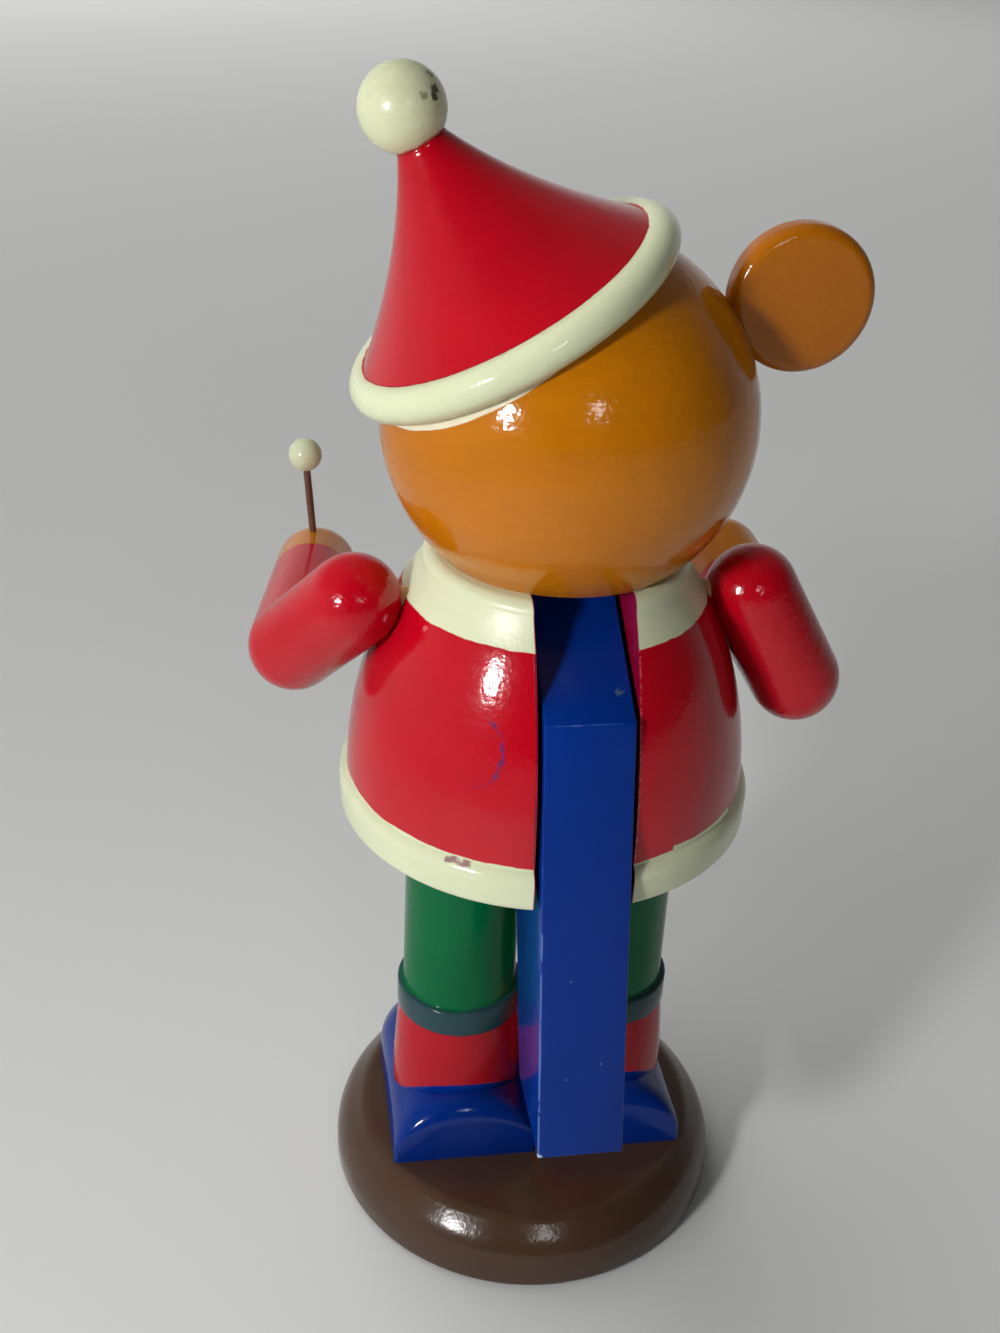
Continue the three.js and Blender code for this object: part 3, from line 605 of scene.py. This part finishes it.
def makePlug(material):
    # over the pin's end, flush with the coat
    piece = pivotBar(coat["plugStart"], coat["plugEnd"], pin["radius"], 32)
    carve(piece, coatForm("plugTrim"), operation='INTERSECT')
    piece.name = piece.data.name = "pinPlug"
    finishPiece(piece, material, "pin_plug")


makeCoat(enamel("coatRed", {
    "color": red, "shade": redShade, "roughness": 0.12, "nibColor": redNibHighlight,
    "nibSpacing": 9, "grain": (14, 14, 1), "streakSize": 1.6, "brush": 0.022, "streaks": 0.06,
    "zones": [
        {"color": cream, "where": [below(137.6)], "wobble": 0.4, "rise": 0.09},
        {"color": cream, "where": [above(186.7)], "wobble": 0.4, "rise": 0.09, "dull": 0.22},
        # the hem's edge steps up on the bear's right
        {"color": cream, "where": [below(138.7), aside(-40, -22.5), behind(0)], "wobble": 0.3, "rise": 0},
        # a chip on the hem, a scuff on the back and a small dark brown spot at the slot's upper corner
        {"color": (158, 124, 124), "where": [(inBall, (29.2, 44, 136.4), 3.4), level(136.0, 136.7)],
         "wobble": 0.2, "ragged": 3.2, "soft": 0.5, "rise": -0.05},
        {"color": (112, 36, 92), "where": [(inHoop, (27.5, 38.4, 164.5), (0.414, 0.910, 0), 9.2, 0.2),
                                           (inBall, (20.2, 42.4, 163.6), 8.6)],
         "wobble": 0.2, "ragged": 2.4, "soft": 0.8, "rise": 0.01},
        {"color": (90, 64, 36), "where": [(inBall, (12.3, 29.9, 196.8), 0.9)], "wobble": 0.4, "soft": 0.5},
        # the slot's walls
        {"color": (150, 8, 52), "where": [aside(-slotHalf - 0.2, slotHalf + 0.2), behind(-34)],
         "wobble": 0, "soft": 0.2, "rise": 0},
        # a pale pink line along the slot's right edge, broken in spots: partly rubbed paint, partly painted
        # highlight where the edge would catch light; and a darker red line along its left edge
        {"color": (226, 84, 102), "where": [aside(-12.3, -11.9), behind(22), level(139, 186.4),
                                            (inSpots, 1.0, 0.50, (5, 5, 0))], "wobble": 0.08, "rise": 0.03},
        {"color": (130, 10, 26), "where": [aside(11.9, 12.3), behind(22), level(139, 186.4)],
         "wobble": 0.15, "rise": 0.03},
    ],
}))
makePlug(enamel("plugRed", {"color": red, "shade": redShade, "roughness": 0.2}))
print("coat done")


lever = {
    "width": 21, "edge": 0.4, "crease": 44.6, "tailDrop": 107, "tailLean": 13.3, "tailThickness": 28.5,
    "topSlope": 30, "jawTop": 204.2, "chin": -47.315, "chinDepth": 8,
    "frontRadius": 40.2, "frontArc": (155, 202),  # turns inside the coat's pocket
    "webDrop": 27, "webFront": -6.8, "webBevel": 9, "pocketGap": 1.2, "stopGap": 0.4,
}


def leverOutline():
    # in Y and Z, from the tail's end up its back and down its front again
    jawTop, chin, web = lever["jawTop"], lever["chin"], pivot.z - lever["webDrop"]
    tailEnd = pivot.z - lever["tailDrop"]
    tailBack = lever["crease"] + lever["tailDrop"] * tan(radians(lever["tailLean"]))
    tailFront = coat["slotFront"] + lever["stopGap"]
    slopeEnd = lever["crease"] - (jawTop - pivot.z) / tan(radians(lever["topSlope"]))
    return [
        (tailBack, tailEnd), (lever["crease"], pivot.z), (slopeEnd, jawTop), (chin, jawTop),
        (chin, jawTop - lever["chinDepth"]),
        *arcPoints((pivot.y, pivot.z), lever["frontRadius"], *lever["frontArc"], steps=20),
        (lever["webFront"], web), (tailFront - lever["webBevel"], web),
        (tailFront, coat["pocketFloor"] + lever["pocketGap"]), (tailFront, coat["foot"].z),
        (tailBack - lever["tailThickness"], tailEnd),
    ]


def roundEdges(piece, radius):
    # only the edges of the two flat sides
    bpy.ops.mesh.select_all(action='DESELECT')
    bpy.ops.object.mode_set(mode='OBJECT')
    for edge in piece.data.edges:
        ends = [piece.data.vertices[i].co.x for i in edge.vertices]
        edge.select = abs(ends[0] - ends[1]) < 0.1 * mm
    bpy.ops.object.mode_set(mode='EDIT')
    bpy.ops.mesh.select_mode(type='EDGE')
    bpy.ops.mesh.bevel(offset=radius * mm, segments=4, affect='EDGES')
    bpy.ops.mesh.select_mode(type='VERT')
    bpy.ops.object.mode_set(mode='OBJECT')


def makeLever(material):
    width = lever["width"]
    piece = drawChain("leverBar", [(-width / 2, y, z) for y, z in leverOutline()])
    bpy.ops.mesh.edge_face_add()
    bpy.ops.mesh.extrude_region_move(TRANSFORM_OT_translate={"value": (width * mm, 0, 0)})
    faceOutwards()
    roundEdges(piece, lever["edge"])
    carve(piece, pivotBar(-width, width, pin["radius"] + pin["play"]))
    finishPiece(piece, material, "lever", "lever", angle=25)


tailAxis = (0, sin(radians(lever["tailLean"])), -cos(radians(lever["tailLean"])))
makeLever(enamel("leverBlue", {
    "color": (0, 46, 136), "shade": (0, 40, 118), "roughness": 0.17, "nibColor": (150, 165, 190),
    "nibSpacing": 9, "grain": (1, 7, 7), "brush": 0.016, "peel": 0.02, "gloss": 0.22,
    "zones": [
        {"color": orange, "where": [ahead(-20), above(166)], "wobble": 0.2},  # the jaw
        {"color": (170, 20, 34), "where": [above(203.6), ahead(-9)], "wobble": 0.1},  # the mouth's floor
        # a painted highlight along the crease, broken in spots; paler in spots along one edge of the tail;
        # worn pale at its lower corner and in a few specks
        {"color": (34, 74, 150), "where": [(inPipe, (0, lever["crease"] + 0.1, pivot.z), (1, 0, 0), 0.25),
                                           (inSpots, 3, 0.52, (2, 0, 0))], "wobble": 0.05, "rise": -0.02},
        {"color": (74, 108, 172), "where": [
            (inPipe, (lever["width"] / 2, lever["crease"], pivot.z), tailAxis, 0.36),
            below(124), (inSpots, 9, 0.58, (0, 2, 0))], "wobble": 0.12, "rise": -0.03},
        {"color": (176, 186, 214), "where": [(inBall, (10.5, 69.7, 66.4), 0.9)],
         "wobble": 0.4, "rise": -0.1},
        {"color": (70, 92, 124), "where": [(inBall, (-8.2, 37.3, 177.6), 1.0),
                                           (inSpots, 1.2, 0.55, (0, 0, 1))],
         "wobble": 0.2, "ragged": 4, "soft": 0.5, "rise": 0.03},
        *[{"color": (96, 124, 184), "where": [(inBall, speck, 0.22)], "wobble": 0.05}
          for speck in ((3.3, 59.1, 111.8), (-4.5, 64.2, 90.1), (3.9, 65.0, 86.6))],
    ],
}))
print("lever done")


arm = {
    "radius": 11.5, "paw": 11, "pawPaint": 21,  # length of the paw's paint
    "shoulder": (49.059, 3.1, 185), "upperLength": 28.1, "splay": 30, "forearmLength": 49.5, "toeIn": 8.6,
    "left": {"swing": 37.3, "pitch": -2}, "right": {"swing": -2.6, "pitch": 13.2},
}


def turned(direction, axis, angle):
    return Matrix.Rotation(radians(angle), 3, axis) @ direction


def armPlaces(side, hand):
    # shoulder, elbow and paw middles, and the directions down the upper arm and along the forearm
    swing, pitch = arm[side]["swing"], arm[side]["pitch"]
    down = turned(turned(-up, 'Y', -hand * arm["splay"]), 'X', -swing)
    forward = turned(turned(forwards, 'X', -pitch), 'Z', -hand * arm["toeIn"])
    x, y, z = arm["shoulder"]
    shoulder = Vector((coat["foot"].x + hand * x, y, z))
    elbow = shoulder + down * arm["upperLength"]
    return shoulder, elbow, elbow + forward * arm["forearmLength"], down, forward


def roundBar(name, start, end, endRadius):
    line = end - start
    outline = arcPoints((0, 0), arm["radius"], -90, 0, steps=20)
    outline += arcPoints((0, line.length), endRadius, 0, 90, steps=20)
    return turnPiece(name, outline, start, line.normalized(), sides=96)


def makeArm(side, hand):
    shoulder, elbow, paw, down, forward = armPlaces(side, hand)
    mitre = -(down + forward).normalized()
    upper = roundBar(side + "UpperArm", shoulder, elbow, arm["radius"])
    sawOff(upper, elbow + mitre * glueGap / 2, mitre, keepAhead=True)
    carve(upper, coatForm("coatTrim", glueGap))
    lower = roundBar(side + "Forearm", elbow, paw, arm["paw"])
    sawOff(lower, elbow - mitre * glueGap / 2, mitre, keepAhead=False)
    sleevePaint = {"color": red, "shade": redShade, "nibColor": redNibHighlight, "swell": 0.14, "peelSize": 0.9}
    upperPaint = enamel(side + "SleeveRed", {
        **sleevePaint, "roughness": 0.12, "grain": (1, 1, 5), "peel": 0.11,
    })
    pawLine = forward.dot(paw) + arm["paw"] - arm["pawPaint"]
    lowerPaint = enamel(side + "CuffAndPaw", {
        **sleevePaint, "roughness": 0.14, "grain": (1, 6, 1), "peel": 0.09,
        "zones": [{"color": orange, "where": [(beyond, tuple(forward), pawLine)], "wobble": 0.5}],
    })
    finishPiece(upper, upperPaint, side + "_upper_arm")
    finishPiece(lower, lowerPaint, side + "_forearm")


for side, hand in hands:
    makeArm(side, hand)
print("arms done")


stick = {
    "radius": 1, "length": 29, "foot": 3, "lean": 4.2, "ball": 4.5, "ballSink": 3,
    # worn a little uneven: (share of its radius, height)
    "outline": [(0.8, 0), (1, 0.2), (0.97, 9), (1, 18), (0.98, 28.8), (0.8, 29)],
}


def makeStick(material, beadMaterial):
    paw = armPlaces("left", 1)[2]
    axis = turned(up, 'Y', stick["lean"])
    foot = paw + axis * stick["foot"]
    outline = [(0, 0), *[(share * stick["radius"], height) for share, height in stick["outline"]],
               (0, stick["length"])]
    rod = turnPiece("drumstickRod", outline, foot, axis, sides=32)
    finishPiece(rod, material, "drumstick")
    centre = foot + axis * (stick["length"] + stick["ball"] - stick["ballSink"])
    finishPiece(ball("drumstickBead", centre, stick["ball"]), beadMaterial, "drumstick_ball")


stickPaint = enamel("stainedStick", {
    "color": (112, 74, 60), "shade": (84, 52, 42), "roughness": 0.45, "grain": (1, 1, 20), "streaks": 0.5,
    "streakSize": 0.5, "brush": 0.05, "nibColor": (60, 40, 30),
})
makeStick(stickPaint, enamel("beadCream", {"color": cream, "roughness": 0.2, "nibColor": creamNibs}))
print("drumstick done")


head = {
    "middle": Vector((0, -2.2, 228.6)), "radius": 44, "seatDrop": 32.1, "sides": 192,
    "mouthFoot": 190, "mouthFront": -60, "mouthBack": 9.54, "mouthRoof": 211.5,
}
hat = {
    "lean": 30.5,  # heights are measured along the leaning hat, from the head ball's middle
    "brimHeight": 29.327, "brimRadius": 36.6, "brimTube": 4.2, "brimBore": 33.5, "boreDepth": 60,
    "coneFoot": 33.38, "coneFootRadius": 35.3, "coneTip": 69.5, "coneTipRadius": 5.9, "coneTipRound": 0.8,
    "coneHollow": 2.6, "coneSteps": 40,
    "pompomHeight": 77.618, "pompomRadius": 9.4,
}
hatAxis = Vector((sin(radians(hat["lean"])), 0, cos(radians(hat["lean"]))))


def alongHat(distance):
    return head["middle"] + hatAxis * distance


def headTrim():
    # what is glued on the head is hollowed by this ball
    return ball("headTrim", head["middle"], head["radius"] + glueGap, head["sides"])


def makeHead(material):
    start = degrees(asin(-head["seatDrop"] / head["radius"]))
    outline = [(0, -head["seatDrop"]), *arcPoints((0, 0), head["radius"], start, 90, steps=72)]
    piece = turnPiece("bearHead", outline, head["middle"], sides=head["sides"])
    carve(piece, block((-slotHalf, head["mouthFront"], head["mouthFoot"]),
                       (slotHalf, head["mouthBack"], head["mouthRoof"])))
    finishPiece(piece, material, "head")


makeHead(enamel("bearOrange", {
    "color": orange, "shade": (172, 98, 4), "roughness": 0.11, "nibColor": (90, 60, 20), "gloss": 0.42,
    "cloudSize": 30, "grain": (9, 9, 1), "streakSize": 1.6, "brush": 0.055, "streaks": 0.2, "swell": 0.24,
    "peel": 0.075, "peelSize": 1.6,
    "zones": [
        # a line of cream that ran under the brim
        {"color": (236, 228, 200), "where": [
            (inRing, alongHat(hat["brimHeight"]), tuple(hatAxis), hat["brimRadius"], 0.47,
             (0.0822, 0.1196, -0.0485))], "wobble": 0.2, "rise": 0.08},
        # the mouth's inside
        {"color": (165, 22, 34), "where": [
            aside(-slotHalf - 0.1, slotHalf + 0.1), below(head["mouthRoof"] + 0.12),
            ahead(head["mouthBack"] + 0.26)], "wobble": 0, "rise": 0},
    ],
}))
print("head done")


face = {
    "muzzleRadius": 14.5, "muzzleReach": 14, "muzzleDrop": 1.6, "muzzleDepth": 7,
    "noseRadius": 5, "noseTilt": 34, "noseSink": 1.6, "eyeRadius": 3.3, "eyeSpread": 19.5, "eyeRise": 19,
}
muzzleSeat = sqrt(head["radius"] ** 2 - face["muzzleDrop"] ** 2)  # the ball's front at the muzzle


def muzzleForm(name, grow=0):
    # a low dome with a straight side that reaches back into the ball
    dome = [((face["muzzleRadius"] + grow) * r, (face["muzzleReach"] + grow) * z + face["muzzleDepth"])
            for r, z in arcPoints((0, 0), 1, 0, 90, steps=32)]
    foot = head["middle"] + Vector((0, face["muzzleDepth"] - muzzleSeat, -face["muzzleDrop"]))
    return turnPiece(name, [(0, 0), (face["muzzleRadius"] + grow, 0), *dome], foot, forwards)


def makeNose(material):
    tilt, proud = radians(face["noseTilt"]), face["noseRadius"] - face["noseSink"]
    centre = head["middle"] + Vector((
        0, -muzzleSeat - (face["muzzleReach"] + proud) * cos(tilt),
        (face["muzzleRadius"] + proud) * sin(tilt) - face["muzzleDrop"]))
    piece = ball("bearNose", centre, face["noseRadius"])
    carve(piece, muzzleForm("muzzleTrim", glueGap))
    finishPiece(piece, material, "nose")


def makeEye(side, hand, material):
    look = turned(turned(forwards, 'X', -face["eyeRise"]), 'Z', hand * face["eyeSpread"])
    piece = ball(side + "Eye", head["middle"] + look * head["radius"], face["eyeRadius"])
    carve(piece, headTrim())
    finishPiece(piece, material, side + "_eye")


muzzle = carve(muzzleForm("bearMuzzle"), headTrim())
finishPiece(muzzle, enamel("muzzleTan", {
    "color": (224, 176, 104), "shade": (210, 158, 86), "roughness": 0.17, "nibColor": (120, 90, 50),
}), "muzzle")
blackPaint = enamel("noseBlack", {
    "color": black, "shade": (12, 10, 10), "roughness": 0.12, "nibColor": (80, 76, 70),
})
makeNose(blackPaint)
for side, hand in hands:
    makeEye(side, hand, blackPaint)
print("face done")


ear = {"radius": 16.9, "thickness": 9, "round": 2.8, "flat": 8, "sink": 2.3, "tilt": 61.3, "back": 1}


def makeEar(material):
    half, edge = ear["thickness"] / 2, ear["round"]
    outline = [
        (0, -half), (ear["flat"], -half),
        *arcPoints((ear["radius"] - edge, edge - half), edge, -90, 0, steps=10),
        *arcPoints((ear["radius"] - edge, half - edge), edge, 0, 90, steps=10),
        (ear["flat"], half), (0, half),
    ]
    away = turned(up, 'Y', -ear["tilt"]) * (head["radius"] + ear["radius"] - ear["sink"])
    piece = turnPiece("rightEar", outline, head["middle"] + away + backwards * ear["back"], backwards)
    carve(piece, headTrim())
    finishPiece(piece, material, "right_ear")


# the head's orange paint, darkened: painted shade on the ear
makeEar(enamel("earOrangeShaded", {
    "color": (184, 106, 8), "shade": (160, 88, 4), "roughness": 0.15, "nibColor": (80, 52, 16),
    "nibSpacing": 3.5, "nibRadius": 0.6, "peel": 0.09, "peelSize": 1.0,
}))
print("ear done")


def makeCone(material):
    side, tipRound = [], hat["coneTipRound"]
    for i in range(hat["coneSteps"] + 1):
        share = i / hat["coneSteps"]
        radius = hat["coneFootRadius"] + (hat["coneTipRadius"] - hat["coneFootRadius"]) * share
        height = hat["coneFoot"] + (hat["coneTip"] - hat["coneFoot"]) * share
        side.append((radius - 4 * hat["coneHollow"] * share * (1 - share), height))
    spigot = hat["brimBore"] - glueGap
    outline = [
        (0, 0), (spigot, 0), (spigot, hat["coneFoot"]), *side,
        *arcPoints((hat["coneTipRadius"] - tipRound, hat["coneTip"]), tipRound, 0, 90, steps=10)[1:],
        (0, hat["coneTip"] + tipRound),
    ]
    piece = turnPiece("hatCone", outline, head["middle"], hatAxis, sides=160)
    carve(piece, headTrim(), ball("pompomTrim", alongHat(hat["pompomHeight"]),
                                  hat["pompomRadius"] + glueGap, head["sides"]))
    finishPiece(piece, material, "hat_cone")


def makeBrim(material):
    section = arcPoints((hat["brimRadius"], hat["brimHeight"]), hat["brimTube"], 0, 360, steps=40)
    piece = turnPiece("hatBrim", section, head["middle"], hatAxis, sides=192)
    bore, depth = hat["brimBore"], hat["boreDepth"]
    carve(piece, turnPiece("brimBore", [(0, 0), (bore, 0), (bore, depth), (0, depth)],
                           head["middle"], hatAxis), headTrim())
    finishPiece(piece, material, "hat_brim")


makeCone(enamel("hatRed", {
    "color": red, "shade": redShade, "nibColor": redNibHighlight, "grain": (1, 1, 4),
}))
makeBrim(enamel("brimCream", {
    "color": cream, "shade": (206, 212, 174), "roughness": 0.14, "nibColor": creamNibs, "swell": 0.2,
    "peel": 0.06,
    # the cone's red laps over the brim in a wavy edge
    "zones": [{"color": red, "where": [
        (inRing, alongHat(hat["coneFoot"]), tuple(hatAxis), hat["coneFootRadius"] - 0.6, 0.95, (0, 0, 0))],
        "wobble": 0.3, "ragged": 0.7}],
}))
pompomChips = [  # colour, place and radius, down to the dark wood
    ((92, 88, 58), (34.1, 1.1, 302.5), 0.7), ((84, 84, 60), (33.3, 3.4, 300), 0.6),
    ((84, 84, 60), (33.4, 4.3, 299), 0.5), ((166, 160, 118), (35.6, 5.6, 299), 0.8),
]
pompomFoot = 7 - hatAxis.dot(alongHat(hat["pompomHeight"]))
pompomPaint = enamel("pompomCream", {
    "color": cream, "shade": (204, 208, 168), "roughness": 0.26, "nibColor": (120, 110, 80),
    "zones": [
        *[{"color": tint, "where": [(inBall, chip, radius)], "wobble": 0.2, "ragged": 3.6, "soft": 0.5,
           "rise": -0.06} for tint, chip, radius in pompomChips],
        # hat red at its foot
        {"color": (196, 84, 76), "where": [(beyond, tuple(-hatAxis), pompomFoot)],
         "wobble": 0.3, "ragged": 1.6, "soft": 0.6, "rise": 0.03},
    ],
})
pompom = ball("hatPompom", alongHat(hat["pompomHeight"]), hat["pompomRadius"], 96)
finishPiece(pompom, pompomPaint, "pompom")
print("hat done")


def dowelWood():
    # bare beech, for the pegs inside
    material, tree, place = startMaterial("bareBeech")
    fibres = noise(tree, place, 0.8, (1, 1, 14), detail=4, roughness=0.6)
    bands = noise(tree, place, 5, (1, 1, 5), detail=2)
    share = reckon(tree, 'MULTIPLY_ADD', addUp(tree, [fibres, bands]), 1.2, 0.5, clamp=True)
    color = mixColor(tree, share, paintColor(214, 180, 132), paintColor(176, 138, 92))
    roughness = reckon(tree, 'MULTIPLY_ADD', fibres, 0.2, 0.62)
    endMaterial(tree, color, roughness, reckon(tree, 'MULTIPLY', fibres, 0.06))
    return material


def pinSteel():
    # drawn steel pin with fine lengthwise marks
    material, tree, place = startMaterial("drawnSteel")
    marks = noise(tree, place, 0.3, (30, 1, 1), detail=3)
    color = mixColor(tree, reckon(tree, 'ADD', marks, 0.5, clamp=True),
                     paintColor(196, 198, 200), paintColor(160, 162, 164))
    roughness = reckon(tree, 'MULTIPLY_ADD', marks, 0.2, 0.35)
    endMaterial(tree, color, roughness, reckon(tree, 'MULTIPLY', marks, 0.02), metallic=1)
    return material


beech, steel = dowelWood(), pinSteel()
for name, node in nodes.items():
    if node.hide_render:
        continue
    node.data.materials.clear()
    node.data.materials.append(steel if name == "pivot_pin" else beech)
print("pegs done")


# sizes and places in metres from here on, angles still in degrees
studio = {
    "floorSize": 12, "floorColor": (210, 211, 209), "farFloorColor": (252, 252, 251),
    "lamps": {
        "keyLamp": {"place": (0.478, 0.447, 0.392), "size": 0.09, "power": 1.32, "spread": 120},
        "secondLamp": {"place": (-0.06, 0.66, 0.50), "size": 0.10, "power": 0.35},
        "overheadSoftbox": {"place": (2.5, -2.9, 5.0), "size": 5.8, "power": 152, "inGloss": False},
        "sideFill": {"place": (2.6, 1.0, 1.8), "size": 1.6, "power": 15, "inGloss": False},
        "frontFill": {"place": (0.6, -4.4, 2.2), "size": 2.6, "power": 30, "inGloss": False},
    },
    "aim": (0, 0, 0.16),
    # grey levels of the room: by height, from the horizon up, and round about, from front to behind
    "sky": [(0.0, 1.0), (0.25, 0.85), (0.5, 0.40), (1.0, 0.30)],
    "round": [(0.0, 0.62), (0.42, 0.46), (0.78, 0.05), (1.0, 0.03)], "behind": (-0.5, 0.866, 0),
}
cameraView = {
    "place": (0.06897, 0.32135, 0.34474), "turn": (60.94507, -2.46651, 171.59456), "lens": 40.253,
    "sensor": 36, "nearest": 0.01,
}


def addLamp(name, place, size, power, inGloss=True, spread=180):
    lamp = bpy.data.objects.new(name, bpy.data.lights.new(name, 'AREA'))
    lamp.data.shape = 'DISK'
    lamp.data.size = size
    lamp.data.energy = power
    lamp.data.spread = radians(spread)
    lamp.location = place
    lamp.rotation_euler = (Vector(place) - Vector(studio["aim"])).to_track_quat('Z', 'Y').to_euler()
    lamp.visible_glossy = inGloss
    bpy.context.scene.collection.objects.link(lamp)


def addFloor():
    deselect()
    radius = studio["floorSize"] / 2
    bpy.ops.mesh.primitive_circle_add(vertices=64, radius=radius, fill_type='NGON')
    floor = bpy.context.object
    floor.name = "paleFloor"
    material = bpy.data.materials.new("paleFloor")
    tree = emptyTree(material)
    place = addNode(tree, 'ShaderNodeTexCoord', {}).outputs['Object']
    away = reckon(tree, 'DIVIDE', vectorMath(tree, 'LENGTH', place), radius, clamp=True)
    color = mixColor(tree, away, paintColor(*studio["floorColor"]), paintColor(*studio["farFloorColor"]))
    matte = addNode(tree, 'ShaderNodeBsdfDiffuse', {'Color': color})
    addNode(tree, 'ShaderNodeOutputMaterial', {'Surface': matte.outputs[0]})
    floor.data.materials.append(material)


def grayRamp(tree, share, levels):
    ramp = addNode(tree, 'ShaderNodeValToRGB', {0: share})
    stops = ramp.color_ramp.elements
    while len(stops) < len(levels):
        stops.new(0.5)
    for stop, (position, gray) in zip(stops, levels):
        stop.position = position
        stop.color = (gray, gray, gray, 1)
    return ramp.outputs[0]


def addRoom():
    world = bpy.data.worlds.new("paleRoom")
    bpy.context.scene.world = world
    tree = emptyTree(world)
    direction = addNode(tree, 'ShaderNodeTexCoord', {}).outputs['Generated']
    rise = addNode(tree, 'ShaderNodeSeparateXYZ', {0: direction}).outputs['Z']
    toBehind = vectorMath(tree, 'DOT_PRODUCT', direction, studio["behind"])
    toBehind = reckon(tree, 'MULTIPLY_ADD', toBehind, 0.5, 0.5)
    light = mixColor(tree, 1, grayRamp(tree, rise, studio["sky"]),
                     grayRamp(tree, toBehind, studio["round"]), 'MULTIPLY')
    background = addNode(tree, 'ShaderNodeBackground', {'Color': light, 'Strength': 1})
    addNode(tree, 'ShaderNodeOutputWorld', {'Surface': background.outputs[0]})


def addCamera():
    camera = bpy.data.objects.new("photoCamera", bpy.data.cameras.new("photoCamera"))
    camera.data.lens = cameraView["lens"]
    camera.data.sensor_width = cameraView["sensor"]
    camera.data.clip_start = cameraView["nearest"]
    camera.location = cameraView["place"]
    camera.rotation_euler = [radians(angle) for angle in cameraView["turn"]]
    bpy.context.scene.collection.objects.link(camera)
    bpy.context.scene.camera = camera


addFloor()
for name, settings in studio["lamps"].items():
    addLamp(name, **settings)
addRoom()
addCamera()
bpy.context.scene.view_settings.view_transform = 'Standard'
print("studio done")
